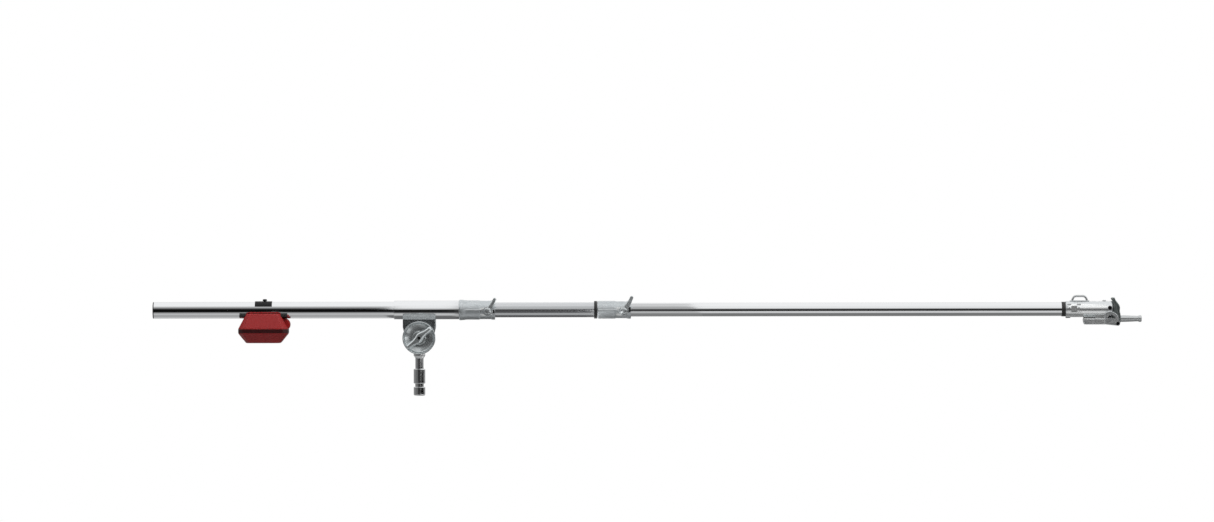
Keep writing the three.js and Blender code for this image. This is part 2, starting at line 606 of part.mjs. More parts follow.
// A dished disc with a raised rim, a hub behind and the grip bar across its face
function tiltKnob() {
  const radius = KNOB_DIAMETER / 2;
  const rimInner = radius - KNOB_RIM_WIDTH;
  const bossRadius = KNOB_BOSS_DIAMETER / 2;
  const dishSpan = rimInner - bossRadius;
  const dish = [0.85, 0.65, 0.45, 0.2].map((share) => [
    bossRadius + dishSpan * share,
    KNOB_DISH_FLOOR + (KNOB_RIM_HEIGHT - KNOB_DISH_FLOOR) * share ** 3,
  ]);
  const disc = turned('y', [
    [0, 0],
    [KNOB_HUB_DIAMETER / 2, 0],
    [KNOB_HUB_DIAMETER / 2, KNOB_HUB_HEIGHT],
    ...arc(radius - KNOB_EDGE_ROUND, KNOB_HUB_HEIGHT + KNOB_EDGE_ROUND, KNOB_EDGE_ROUND, -90, 0, 3),
    ...arc(radius - KNOB_RIM_WIDTH / 2, KNOB_RIM_HEIGHT - KNOB_RIM_WIDTH / 2, KNOB_RIM_WIDTH / 2, 0, 180, 4),
    ...dish,
    [bossRadius, KNOB_BOSS_HEIGHT],
    [0, KNOB_BOSS_HEIGHT],
  ]);
  const barHeight = KNOB_BAR_TOP - KNOB_DISH_FLOOR;
  const grip = slab(knobBarShape(), barHeight, KNOB_BAR_ROUND)
    .rotateY(THREE.MathUtils.degToRad(KNOB_BAR_ANGLE))
    .translate(0, KNOB_DISH_FLOOR + barHeight / 2, 0);
  const bushBore = rod('y', KNOB_BUSH_DIAMETER / 2 + SEAT_GAP, -CUT_OVERRUN, KNOB_BUSH_LENGTH + SEAT_GAP);
  const eye = rod('y', KNOB_EYE_DIAMETER / 2, 0, KNOB_BAR_TOP + CUT_OVERRUN, SMALL_SIDES);
  return cut(join(disc, grip), bushBore, eye);
}

function knobParts() {
  const faceFront = (geometry) => geometry.rotateZ(Math.PI).translate(0, -KNOB_BACK, -BOOM_RISE);
  const bush = tube('y', KNOB_BUSH_DIAMETER / 2, TILT_BOLT_DIAMETER / 2 + SEAT_GAP, 0, KNOB_BUSH_LENGTH,
    0, MEDIUM_SIDES);
  return [
    piece('tilt_knob', faceFront(tiltKnob()), 'castAluminium'),
    piece('knob_bush', faceFront(bush), 'steel'),
  ];
}

// A clamp collar: barrel round the outer tube, clamp head round the inner one, boss for the screw
function collar({ start, barrel, tubeRadius, innerRadius, lipRise }) {
  const step = start + barrel;
  const end = step + CLAMP_HEAD_LENGTH;
  const barrelRadius = tubeRadius + COLLAR_BARREL_WALL;
  const headRadius = tubeRadius + COLLAR_HEAD_WALL;
  const ringRadius = headRadius + COLLAR_RING_RISE;
  const lipRadius = barrelRadius + lipRise;
  const body = turned('x', [
    [0, start],
    [lipRadius - COLLAR_EDGE_ROUND, start],
    [lipRadius, start + COLLAR_EDGE_ROUND],
    [lipRadius, start + COLLAR_LIP_LENGTH / 2],
    [barrelRadius, start + COLLAR_LIP_LENGTH],
    [barrelRadius, step - COLLAR_EDGE_ROUND],
    [headRadius, step],
    [headRadius, end - COLLAR_RING_LENGTH - COLLAR_RING_RISE],
    [ringRadius, end - COLLAR_RING_LENGTH],
    [ringRadius, end - COLLAR_EDGE_ROUND],
    [ringRadius - COLLAR_EDGE_ROUND, end],
    [0, end],
  ]);
  const bossFace = -headRadius - CLAMP_BOSS_RISE;
  const bossPlace = [end - CLAMP_INSET, 0, -CLAMP_DROP];
  const boss = rod('y', CLAMP_BOSS_DIAMETER / 2, bossFace, -headRadius / 2, MEDIUM_SIDES, COLLAR_EDGE_ROUND)
    .translate(...bossPlace);
  const tubeBore = rod('x', tubeRadius + SEAT_GAP, start - CUT_OVERRUN, step - COLLAR_SHOULDER + SEAT_GAP,
    ROUND_SIDES);
  const innerBore = rod('x', innerRadius + SEAT_GAP, start, end + CUT_OVERRUN, ROUND_SIDES);
  const bushSeat = rod('x', innerRadius + SEAT_GAP + COLLAR_BUSH_WALL + SEAT_GAP,
    end - COLLAR_BUSH_LENGTH - SEAT_GAP, end + CUT_OVERRUN, ROUND_SIDES);
  const screwHole = rod('y', CLAMP_SCREW_DIAMETER / 2 + SEAT_GAP, bossFace - CUT_OVERRUN, 0, SMALL_SIDES)
    .translate(...bossPlace);
  return { solid: cut(join(body, boss), tubeBore, innerBore, bushSeat, screwHole), bossFace, bossPlace, end };
}

function collarBush(end, innerRadius) {
  const bore = innerRadius + SEAT_GAP;
  return tube('x', bore + COLLAR_BUSH_WALL, bore, end - COLLAR_BUSH_LENGTH, end);
}

// The brake shoe: a short round slug with its face hollowed to the tube
function clampShoe(innerRadius, bossPlace) {
  const drop = CLAMP_DROP + CLAMP_SCREW_DIAMETER / 2;
  const face = -Math.sqrt(innerRadius ** 2 - drop ** 2);
  const back = -innerRadius - SEAT_GAP - CLAMP_SHOE_THICKNESS;
  const slug = rod('y', CLAMP_SCREW_DIAMETER / 2, back, face, SMALL_SIDES).translate(...bossPlace);
  const hollow = rod('x', innerRadius + SEAT_GAP, bossPlace[0] - CLAMP_SCREW_DIAMETER,
    bossPlace[0] + CLAMP_SCREW_DIAMETER, ROUND_SIDES);
  return { solid: cut(slug, hollow), back };
}

// The lever: a hub with a bent, tapering arm that stands off the collar
function clampLever(length, bossFace, bossPlace) {
  const hubBack = bossFace - SEAT_GAP;
  const hubFace = hubBack - LEVER_HUB_HEIGHT;
  const hubRadius = LEVER_HUB_DIAMETER / 2;
  const hub = turned('y', [
    [0, hubFace - LEVER_HUB_DOME],
    [hubRadius / 2, hubFace - LEVER_HUB_DOME * 3 / 4],
    [hubRadius - COLLAR_EDGE_ROUND, hubFace],
    [hubRadius, hubFace + COLLAR_EDGE_ROUND],
    [hubRadius, hubBack],
    [0, hubBack],
  ], MEDIUM_SIDES);
  const toward = (degrees, distance, [x, y] = [0, 0]) => {
    const angle = THREE.MathUtils.degToRad(degrees);
    return [x + distance * Math.cos(angle), y + distance * Math.sin(angle)];
  };
  const bend = toward(LEVER_ROOT_ANGLE, length * LEVER_BEND_SHARE);
  const tipEnd = toward(LEVER_TIP_ANGLE, length * (1 - LEVER_BEND_SHARE) - LEVER_TIP_WIDTH / 2, bend);
  const tipRound = toward(LEVER_TIP_ANGLE, LEVER_TIP_WIDTH * 3 / 8, tipEnd);
  const bendWidth = (LEVER_ROOT_WIDTH + LEVER_TIP_WIDTH) / 2;
  const shape = strip([[0, 0], bend, tipEnd, tipRound],
    [LEVER_ROOT_WIDTH / 2, bendWidth / 2, LEVER_TIP_WIDTH / 2, LEVER_TIP_WIDTH / 3]);
  const arm = slab(shape, LEVER_THICKNESS, LEVER_ROUND)
    .translate(0, hubFace + LEVER_THICKNESS / 2 + COLLAR_EDGE_ROUND, 0);
  const bore = rod('y', CLAMP_SCREW_DIAMETER / 2 + SEAT_GAP, hubBack - LEVER_BORE_DEPTH,
    hubBack + CUT_OVERRUN, SMALL_SIDES);
  return cut(join(hub, arm), bore).translate(...bossPlace);
}

function clampScrew(shoeBack, bossFace, bossPlace) {
  const head = bossFace - SEAT_GAP - LEVER_BORE_DEPTH + SEAT_GAP;
  return rod('y', CLAMP_SCREW_DIAMETER / 2, head, shoeBack - SEAT_GAP, SMALL_SIDES, TUBE_CHAMFER)
    .translate(...bossPlace);
}

// A collar with its bush, shoe, lever and screw
function collarSet(label, { leverLength, ...sizes }) {
  const body = collar(sizes);
  const shoe = clampShoe(sizes.innerRadius, body.bossPlace);
  return {
    fixed: [
      piece(`${label}_collar`, body.solid, 'castAluminium'),
      piece(`${label}_collar_bush`, collarBush(body.end, sizes.innerRadius), 'plastic'),
      piece(`${label}_clamp_shoe`, shoe.solid, 'darkSteel'),
    ],
    lever: [
      piece(`${label}_clamp_lever`, clampLever(leverLength, body.bossFace, body.bossPlace), 'castAluminium'),
      piece(`${label}_clamp_screw`, clampScrew(shoe.back, body.bossFace, body.bossPlace), 'steel'),
    ],
  };
}

// A cup-shaped plug in a tube's end, with a flange outside it
function tubePlug(place, bore, flangeRadius, flangeThickness) {
  const plugRadius = bore - SEAT_GAP;
  return turned('x', [
    [0, place - SEAT_GAP - flangeThickness],
    [flangeRadius - END_CAP_ROUND, place - SEAT_GAP - flangeThickness],
    [flangeRadius, place - SEAT_GAP - flangeThickness + END_CAP_ROUND],
    [flangeRadius, place - SEAT_GAP],
    [plugRadius, place - SEAT_GAP],
    [plugRadius, place + PLUG_DEPTH],
    [plugRadius - PLUG_WALL, place + PLUG_DEPTH],
    [plugRadius - PLUG_WALL, place + PLUG_WALL],
    [0, place + PLUG_WALL],
  ]);
}

function rubberRing(start, length, tubeRadius, wall) {
  const bore = tubeRadius + SEAT_GAP;
  return tube('x', bore + wall, bore, start, start + length, BUMPER_ROUND);
}

function boomParts() {
  const sleeve = tube('x', SLEEVE_RADIUS, REAR_TUBE_RADIUS + SEAT_GAP, -SLEEVE_REAR_REACH, SLEEVE_END,
    TUBE_CHAMFER);
  const rearTube = tube('x', REAR_TUBE_RADIUS, REAR_BORE_RADIUS, REAR_TUBE_START,
    REAR_COLLAR_STEP - COLLAR_SHOULDER);
  return [
    piece('pivot_sleeve', sleeve, 'chrome'),
    piece('yoke', yoke(), 'castAluminium'),
    piece('rear_tube', rearTube, 'chrome'),
    piece('rear_end_cap', tubePlug(REAR_TUBE_START, REAR_BORE_RADIUS, REAR_TUBE_RADIUS, END_CAP_FLANGE),
      'plastic'),
    piece('tilt_bolt', tiltBolt(), 'steel'),
    piece('friction_disc_front', frictionDisc(-1), 'friction'),
    piece('friction_disc_rear', frictionDisc(1), 'friction'),
    piece('thrust_washer', thrustWasher(), 'steel'),
  ];
}

function middleParts() {
  const start = REAR_COLLAR_END - MIDDLE_TUBE_OVERLAP;
  const middleTube = tube('x', MIDDLE_TUBE_RADIUS, MIDDLE_BORE_RADIUS, start, MIDDLE_TUBE_END);
  const guide = tube('x', MIDDLE_TUBE_RADIUS, MIDDLE_BORE_RADIUS, start - SEAT_GAP - GUIDE_RING_LENGTH,
    start - SEAT_GAP);
  return [
    piece('middle_tube', middleTube, 'chrome'),
    piece('middle_guide_ring', guide, 'nylon'),
    piece('middle_bumper', rubberRing(MIDDLE_BUMPER_START, MIDDLE_BUMPER_LENGTH, MIDDLE_TUBE_RADIUS,
      MIDDLE_BUMPER_WALL), 'rubber'),
  ];
}

function frontParts() {
  const start = FRONT_COLLAR_END - FRONT_TUBE_OVERLAP;
  const frontTube = tube('x', FRONT_TUBE_RADIUS, FRONT_BORE_RADIUS, start, FRONT_TUBE_END);
  return [
    piece('front_tube', frontTube, 'chrome'),
    piece('front_guide_plug', tubePlug(start, FRONT_BORE_RADIUS, FRONT_TUBE_RADIUS, END_CAP_FLANGE), 'nylon'),
    piece('front_bumper', rubberRing(FRONT_BUMPER_START, FRONT_BUMPER_LENGTH, FRONT_TUBE_RADIUS,
      FRONT_BUMPER_WALL), 'rubber'),
  ];
}

// The arched lug beside the receiver's mouth, drawn from the front
function lugShape() {
  const radius = KNUCKLE_DIAMETER / 2;
  const archTop = WINDOW_START + LUG_THICKNESS;
  const shape = new THREE.Shape();
  shape.moveTo(LUG_START, -BLOCK_BOTTOM + BLOCK_ROUND);
  shape.lineTo(LUG_START, -LUG_SHOULDER_DROP);
  shape.quadraticCurveTo(LUG_START + LUG_ROUND, -LUG_ARCH_DROP - LUG_ROUND, archTop, -LUG_ARCH_DROP);
  shape.quadraticCurveTo(HINGE_PLACE - LUG_ROUND, -LUG_ARCH_DROP - LUG_ROUND, HINGE_PLACE + LUG_ROUND * 2,
    -BLOCK_TOP);
  shape.lineTo(HINGE_PLACE + radius, -HINGE_DROP);
  shape.absarc(HINGE_PLACE, -HINGE_DROP, radius, 0, -Math.PI / 2, true);
  shape.lineTo(LUG_START + BLOCK_ROUND, -BLOCK_BOTTOM);
  return shape;
}

// The crescent window under the arch
function windowShape() {
  const end = WINDOW_START + WINDOW_LENGTH;
  const middle = WINDOW_START + WINDOW_LENGTH / 2;
  const upperEnd = WINDOW_END_HEIGHT - WINDOW_END_DROP;
  const shape = new THREE.Shape();
  shape.moveTo(WINDOW_START, -WINDOW_END_DROP);
  shape.lineTo(WINDOW_START, upperEnd);
  shape.quadraticCurveTo(middle, -2 * WINDOW_TOP - upperEnd, end, upperEnd);
  shape.lineTo(end, -WINDOW_END_DROP);
  shape.quadraticCurveTo(middle, -2 * (WINDOW_TOP + WINDOW_HEIGHT) + WINDOW_END_DROP, WINDOW_START,
    -WINDOW_END_DROP);
  return shape;
}

// Shallow side pockets whose floor follows the socket wall
function sidePocket(place) {
  const outer = HEAD_DIAMETER / 2 + CUT_OVERRUN;
  const floor = HEAD_DIAMETER / 2 - POCKET_DEPTH;
  const ring = tube('x', outer, floor, place - POCKET_WIDTH / 2, place + POCKET_WIDTH / 2);
  const keep = box([place - POCKET_WIDTH, -outer, POCKET_LIFT - POCKET_HEIGHT / 2],
    [place + POCKET_WIDTH, 0, POCKET_LIFT + POCKET_HEIGHT / 2]);
  return toGeometry(toSolid(ring).intersect(toSolid(keep)));
}

// Socket for the front tube, receiver for a large spigot, hinge block below and lugs for the pin arm
function headCasting() {
  const radius = HEAD_DIAMETER / 2;
  const bore = RECEIVER_DIAMETER / 2;
  const barrel = rod('x', radius, 0, HEAD_LENGTH, ROUND_SIDES, HEAD_EDGE_ROUND);
  const blockEnd = HINGE_PLACE - KNUCKLE_DIAMETER / 2 - 3 * SEAT_GAP;
  const blockMiddle = (BLOCK_TOP + BLOCK_BOTTOM) / 2;
  const block = slab(outline([[BLOCK_START, -BLOCK_TOP], [BLOCK_START + SEAT_GAP, -blockMiddle],
    [BLOCK_START + BLOCK_ROUND, -BLOCK_BOTTOM], [blockEnd, -BLOCK_BOTTOM], [blockEnd, -BLOCK_TOP]]),
  BLOCK_WIDTH, BLOCK_ROUND / 2);
  const web = box([WEB_START, -WEB_WIDTH / 2, -blockMiddle], [WEB_START + WEB_LENGTH, WEB_WIDTH / 2, 0]);
  const rib = box([BLOCK_START + SEAT_GAP, -RIB_WIDTH / 2, -blockMiddle],
    [WEB_START + SEAT_GAP, RIB_WIDTH / 2, -(radius + bore) / 2]);
  const lugOffset = (LUG_INNER_GAP + LUG_THICKNESS) / 2;
  const lugs = [-1, 1].map((side) => slab(lugShape(), LUG_THICKNESS, LUG_ROUND)
    .translate(0, side * lugOffset, 0));
  const pad = box([LOOP_FEET[0] - LOOP_PAD_MARGIN, -LOOP_PAD_WIDTH / 2, radius - LOOP_PAD_RISE],
    [LOOP_FEET[1] + LOOP_PAD_MARGIN, LOOP_PAD_WIDTH / 2, radius + LOOP_PAD_RISE]);
  const grubBoss = box([0, -GRUB_BOSS_WIDTH / 2, -radius - GRUB_BOSS_DROP],
    [GRUB_BOSS_LENGTH, GRUB_BOSS_WIDTH / 2, -radius + GRUB_BOSS_DROP]);
  const lockBoss = rod('y', LOCK_BOSS_DIAMETER / 2, radius / 2, LOCK_BOSS_REACH, MEDIUM_SIDES,
    HEAD_EDGE_ROUND).translate(LOCK_PLACE, 0, 0);

  const socket = rod('x', FRONT_TUBE_RADIUS + SEAT_GAP, -CUT_OVERRUN, HEAD_SOCKET_DEPTH + SEAT_GAP,
    ROUND_SIDES);
  const receiver = turned('x', [[0, HEAD_LENGTH - RECEIVER_DEPTH], [bore, HEAD_LENGTH - RECEIVER_DEPTH],
    [bore, HEAD_LENGTH - RECEIVER_CHAMFER], [bore + RECEIVER_CHAMFER, HEAD_LENGTH],
    [bore + RECEIVER_CHAMFER, HEAD_LENGTH + CUT_OVERRUN], [0, HEAD_LENGTH + CUT_OVERRUN]]);
  const sideFlat = box([SIDE_FLAT_START, -radius - CUT_OVERRUN, -radius],
    [SIDE_FLAT_START + SIDE_FLAT_LENGTH, -radius + SIDE_FLAT_DEPTH, radius]);
  const window = slab(windowShape(), LUG_THICKNESS + 2 * SEAT_GAP).translate(0, -lugOffset, 0);
  const hingeHole = rod('y', HINGE_PIN_DIAMETER / 2 + SEAT_GAP, -BLOCK_WIDTH, BLOCK_WIDTH, SMALL_SIDES)
    .translate(HINGE_PLACE, 0, -HINGE_DROP);
  const lockHole = rod('y', LOCK_SCREW_DIAMETER / 2 + SEAT_GAP, 0, LOCK_BOSS_REACH + CUT_OVERRUN, SMALL_SIDES)
    .translate(LOCK_PLACE, 0, 0);
  const loopHoles = LOOP_FEET.map((place) => rod('z', LOOP_WIRE / 2 + SEAT_GAP,
    radius + LOOP_PAD_RISE - LOOP_FOOT_DEPTH - SEAT_GAP, radius + CUT_OVERRUN, WIRE_SIDES)
    .translate(place, 0, 0));
  const screwHoles = POCKET_PLACES.map((place) => rod('y', HEAD_SCREW_DIAMETER / 4 + SEAT_GAP,
    -radius - CUT_OVERRUN, -FRONT_TUBE_RADIUS + POCKET_DEPTH, SMALL_SIDES).translate(place, 0, POCKET_LIFT));
  const topHole = rod('z', TOP_SCREW_SHANK / 2 + SEAT_GAP, (radius + bore) / 2 - SEAT_GAP,
    radius + CUT_OVERRUN, SMALL_SIDES).translate(TOP_SCREW_PLACE, 0, 0);
  const topSeat = rod('z', TOP_SCREW_DIAMETER / 2 + SEAT_GAP, radius - TOP_SCREW_SEAT,
    radius + CUT_OVERRUN, SMALL_SIDES).translate(TOP_SCREW_PLACE, 0, 0);
  const latchFace = rod('y', LATCH_SCREW_DIAMETER / 2 + SEAT_GAP, -radius - CUT_OVERRUN,
    -radius + LATCH_FACE_DEPTH, SMALL_SIDES).translate(LATCH_SCREW_PLACE, 0, LATCH_SCREW_LIFT);
  const latchHole = rod('y', LATCH_SCREW_SHANK / 2 + SEAT_GAP, -radius - CUT_OVERRUN, -bore - SEAT_GAP,
    SMALL_SIDES).translate(LATCH_SCREW_PLACE, 0, LATCH_SCREW_LIFT);
  const casting = join(barrel, block, web, rib, ...lugs, pad, grubBoss, lockBoss);
  return cut(casting, socket, receiver, sideFlat, window, hingeHole, lockHole, ...loopHoles,
    ...POCKET_PLACES.map(sidePocket), ...screwHoles, topHole, topSeat, latchFace, latchHole);
}

// A bent wire loop for a safety cable, its feet in the pad
function safetyLoop() {
  const foot = HEAD_DIAMETER / 2 + LOOP_PAD_RISE - LOOP_FOOT_DEPTH;
  const [left, right] = LOOP_FEET;
  const point = (x, z) => new THREE.Vector3(x, 0, z);
  const path = new THREE.CurvePath();
  path.add(new THREE.LineCurve3(point(left, foot), point(left, LOOP_KNEE)));
  path.add(new THREE.QuadraticBezierCurve3(point(left, LOOP_KNEE), point(left + LOOP_LEAN, LOOP_RISE),
    point(left + LOOP_CORNER, LOOP_RISE)));
  path.add(new THREE.LineCurve3(point(left + LOOP_CORNER, LOOP_RISE), point(right - LOOP_CORNER, LOOP_RISE)));
  path.add(new THREE.QuadraticBezierCurve3(point(right - LOOP_CORNER, LOOP_RISE),
    point(right - LOOP_LEAN, LOOP_RISE), point(right, LOOP_KNEE)));
  path.add(new THREE.LineCurve3(point(right, LOOP_KNEE), point(right, foot)));
  const wire = new THREE.Shape();
  wire.absarc(0, 0, LOOP_WIRE / 2, 0, Math.PI * 2);
  return new THREE.ExtrudeGeometry(wire, { steps: LOOP_STEPS, extrudePath: path,
    curveSegments: WIRE_SIDES / 2 });
}

// A pan-head screw along an axis: the head stands on `seat`, the shank reaches back to `tip`
function panScrew(axis, headRadius, headHeight, shankRadius, seat, tip) {
  const out = Math.sign(seat - tip);
  return turned(axis, [
    [0, tip],
    [shankRadius, tip],
    [shankRadius, seat],
    [headRadius, seat],
    [headRadius, seat + out * headHeight / 2],
    [headRadius * 3 / 4, seat + out * headHeight],
    [0, seat + out * headHeight],
  ], SMALL_SIDES);
}

function hingePin() {
  const half = LUG_INNER_GAP / 2 + LUG_THICKNESS;
  return turned('y', [
    [0, -half - SEAT_GAP - HINGE_PIN_HEAD_HEIGHT],
    [HINGE_PIN_HEAD / 2 - LUG_ROUND, -half - SEAT_GAP - HINGE_PIN_HEAD_HEIGHT],
    [HINGE_PIN_HEAD / 2, -half - SEAT_GAP - HINGE_PIN_HEAD_HEIGHT / 2],
    [HINGE_PIN_HEAD / 2, -half - SEAT_GAP],
    [HINGE_PIN_DIAMETER / 2, -half - SEAT_GAP],
    [HINGE_PIN_DIAMETER / 2, half + LUG_ROUND],
    [0, half + LUG_ROUND],
  ], SMALL_SIDES).translate(HINGE_PLACE, 0, -HINGE_DROP);
}

function headParts() {
  const radius = HEAD_DIAMETER / 2;
  const screwSeat = -radius + POCKET_DEPTH - SEAT_GAP;
  const headScrews = POCKET_PLACES.map((place) => panScrew('y', HEAD_SCREW_DIAMETER / 2, HEAD_SCREW_HEIGHT,
    HEAD_SCREW_DIAMETER / 4, screwSeat, -FRONT_TUBE_RADIUS - SEAT_GAP).translate(place, 0, POCKET_LIFT));
  const topScrew = panScrew('z', TOP_SCREW_DIAMETER / 2, TOP_SCREW_HEIGHT, TOP_SCREW_SHANK / 2,
    radius - TOP_SCREW_SEAT + SEAT_GAP, (radius + RECEIVER_DIAMETER / 2) / 2).translate(TOP_SCREW_PLACE, 0, 0);
  const latchScrew = panScrew('y', LATCH_SCREW_DIAMETER / 2, LATCH_SCREW_HEIGHT, LATCH_SCREW_SHANK / 2,
    -radius + LATCH_FACE_DEPTH - SEAT_GAP, -RECEIVER_DIAMETER / 2 - 2 * SEAT_GAP)
    .translate(LATCH_SCREW_PLACE, 0, LATCH_SCREW_LIFT);
  return [
    piece('head_casting', headCasting(), 'castAluminium'),
    piece('head_screw_left', headScrews[0], 'steel'),
    piece('head_screw_right', headScrews[1], 'steel'),
    piece('safety_loop', safetyLoop(), 'steel'),
    piece('top_screw', topScrew, 'steel'),
    piece('latch_screw', latchScrew, 'darkSteel'),
    piece('hinge_pin', hingePin(), 'darkSteel'),
  ];
}

// The claw-shaped arm that closes the receiver's mouth, with a knuckle below and a boss for the stud
function pinArm() {
  const radius = HEAD_DIAMETER / 2;
  const face = HEAD_LENGTH + 2 * SEAT_GAP;
  const edge = (shares) => shares.map(([x, z]) => [face + x * radius, z * radius]);
  const claw = slab(outline([...edge(CLAW_BACK_SHARES), ...edge(CLAW_FRONT_SHARES)]), ARM_WIDTH, ARM_ROUND);
  const stem = slab(outline([[STUD_BOSS_START, -STUD_DROP + KNUCKLE_DIAMETER / 2],
    [STUD_ROOT, -STUD_DROP + KNUCKLE_DIAMETER / 2], [STUD_ROOT, -STUD_DROP - STUD_DIAMETER / 2],
    [HINGE_PLACE + KNUCKLE_DIAMETER / 2, -HINGE_DROP], [HINGE_PLACE - KNUCKLE_DIAMETER / 2, -HINGE_DROP]]),
  ARM_WIDTH - 2 * ARM_ROUND);
  const knuckle = rod('y', KNUCKLE_DIAMETER / 2, -ARM_WIDTH / 2, ARM_WIDTH / 2, MEDIUM_SIDES)
    .translate(HINGE_PLACE, 0, -HINGE_DROP);
  const boss = rod('x', STUD_BOSS_DIAMETER / 2, STUD_BOSS_START, STUD_ROOT, MEDIUM_SIDES)
    .translate(0, 0, -STUD_DROP);
  const hingeHole = rod('y', HINGE_PIN_DIAMETER / 2 + SEAT_GAP, -ARM_WIDTH, ARM_WIDTH, SMALL_SIDES)
    .translate(HINGE_PLACE, 0, -HINGE_DROP);
  const tangHole = rod('x', STUD_TANG_DIAMETER / 2 + SEAT_GAP, STUD_ROOT - STUD_TANG_LENGTH - SEAT_GAP,
    STUD_ROOT + CUT_OVERRUN, SMALL_SIDES).translate(0, 0, -STUD_DROP);
  const mouthClear = rod('x', radius, HEAD_LENGTH - CUT_OVERRUN, face, ROUND_SIDES);
  return cut(join(claw, stem, knuckle, boss), hingeHole, tangHole, mouthClear);
}

// 16 mm stud: straight root, long shallow waist, flanged tip
function babyPin() {
  const start = STUD_ROOT + SEAT_GAP;
  const end = STUD_ROOT + STUD_LENGTH;
  const radius = STUD_DIAMETER / 2;
  const waist = STUD_WAIST_DIAMETER / 2;
  return turned('x', [
    [0, STUD_ROOT - STUD_TANG_LENGTH],
    [STUD_TANG_DIAMETER / 2, STUD_ROOT - STUD_TANG_LENGTH],
    [STUD_TANG_DIAMETER / 2, start],
    [radius, start],
    [radius, start + STUD_TIP_LENGTH],
    [waist, end - STUD_TIP_LENGTH - 2 * STUD_CHAMFER],
    [waist, end - STUD_TIP_LENGTH],
    [radius, end - STUD_TIP_LENGTH + STUD_CHAMFER],
    [radius, end - STUD_CHAMFER],
    [radius - STUD_CHAMFER, end],
    [0, end],
  ], MEDIUM_SIDES).translate(0, 0, -STUD_DROP);
}

function armParts() {
  return [
    piece('pin_arm', pinArm(), 'darkCasting'),
    piece('baby_pin', babyPin(), 'steel'),
  ];
}

// T-handled screw that locks a spigot in the receiver
function lockParts() {
  const tip = RECEIVER_DIAMETER / 2 + SEAT_GAP;
  const headStart = LOCK_BOSS_REACH + LOCK_HEAD_STANDOFF;
  const headEnd = headStart + LOCK_HEAD_LENGTH;
  const barPlace = (headStart + headEnd) / 2;
  const shank = rod('y', LOCK_SCREW_DIAMETER / 2, tip, headEnd - TUBE_CHAMFER, SMALL_SIDES);
  const head = rod('y', LOCK_HEAD_DIAMETER / 2, headStart, headEnd, MEDIUM_SIDES, TUBE_CHAMFER);
  const barHole = rod('x', LOCK_BAR_DIAMETER / 2 + SEAT_GAP, -LOCK_BAR_LENGTH, LOCK_BAR_LENGTH, SMALL_SIDES)
    .translate(0, barPlace, 0);
  const half = LOCK_BAR_LENGTH / 2;
  const handle = rod('x', LOCK_BAR_DIAMETER / 2, -half, half, SMALL_SIDES);
  const balls = [-half, half].map((x) => new THREE.SphereGeometry(LOCK_BALL_DIAMETER / 2, BALL_SIDES,
    BALL_SIDES / 2).translate(x, 0, 0));
  return [
    piece('receiver_screw', cut(join(shank, head), barHole).translate(LOCK_PLACE, 0, 0), 'steel'),
    piece('receiver_tee_bar', join(handle, ...balls).translate(LOCK_PLACE, barPlace, 0), 'steel'),
  ];
}

// A solid through stacked rings of the same number of points, capped at both ends
function loft(rings) {
  const count = rings[0].length;
  const positions = rings.flat(2);
  const index = [];
  for (let level = 0; level < rings.length - 1; level += 1) {
    for (let i = 0; i < count; i += 1) {
      const next = (i + 1) % count;
      const [a, b] = [level * count + i, level * count + next];
      const [c, d] = [a + count, b + count];
      index.push(a, b, d, a, d, c);
    }
  }
  const top = (rings.length - 1) * count;
  for (let i = 1; i < count - 1; i += 1) {
    index.push(0, i + 1, i, top, top + i, top + i + 1);
  }
  const geometry = new THREE.BufferGeometry();
  geometry.setAttribute('position', new THREE.Float32BufferAttribute(positions, 3));
  geometry.setIndex(index);
  return geometry;
}

function cutCornerRing(length, depth, corner, height) {
  const [x, y] = [length / 2, depth / 2];
  return [[x, -y + corner], [x, y - corner], [x - corner, y], [-x + corner, y], [-x, y - corner],
    [-x, -y + corner], [-x + corner, -y], [x - corner, -y]].map(([px, py]) => [px, py, height]);
}

// The slope of the casting's upper faces towards the back
const WEIGHT_FACE_SLOPE = Math.atan2((WEIGHT_WAIST_DEPTH - WEIGHT_TOP_DEPTH) / 2,
  WEIGHT_WAIST_DROP - WEIGHT_TOP_DROP);

function hookScrewHoles(radius, depth) {
  return [-1, 1].map((side) => onRearFace(rod('y', radius, -depth, CUT_OVERRUN, SMALL_SIDES), side));
}

// Places a shape whose +Y points out of the casting's upper rear face
function onRearFace(geometry, side) {
  return geometry.translate(side * HOOK_SCREW_SPREAD / 2, 0, -HOOK_SCREW_PLACE)
    .rotateX(WEIGHT_FACE_SLOPE)
    .translate(0, WEIGHT_TOP_DEPTH / 2, -WEIGHT_TOP_DROP);
}

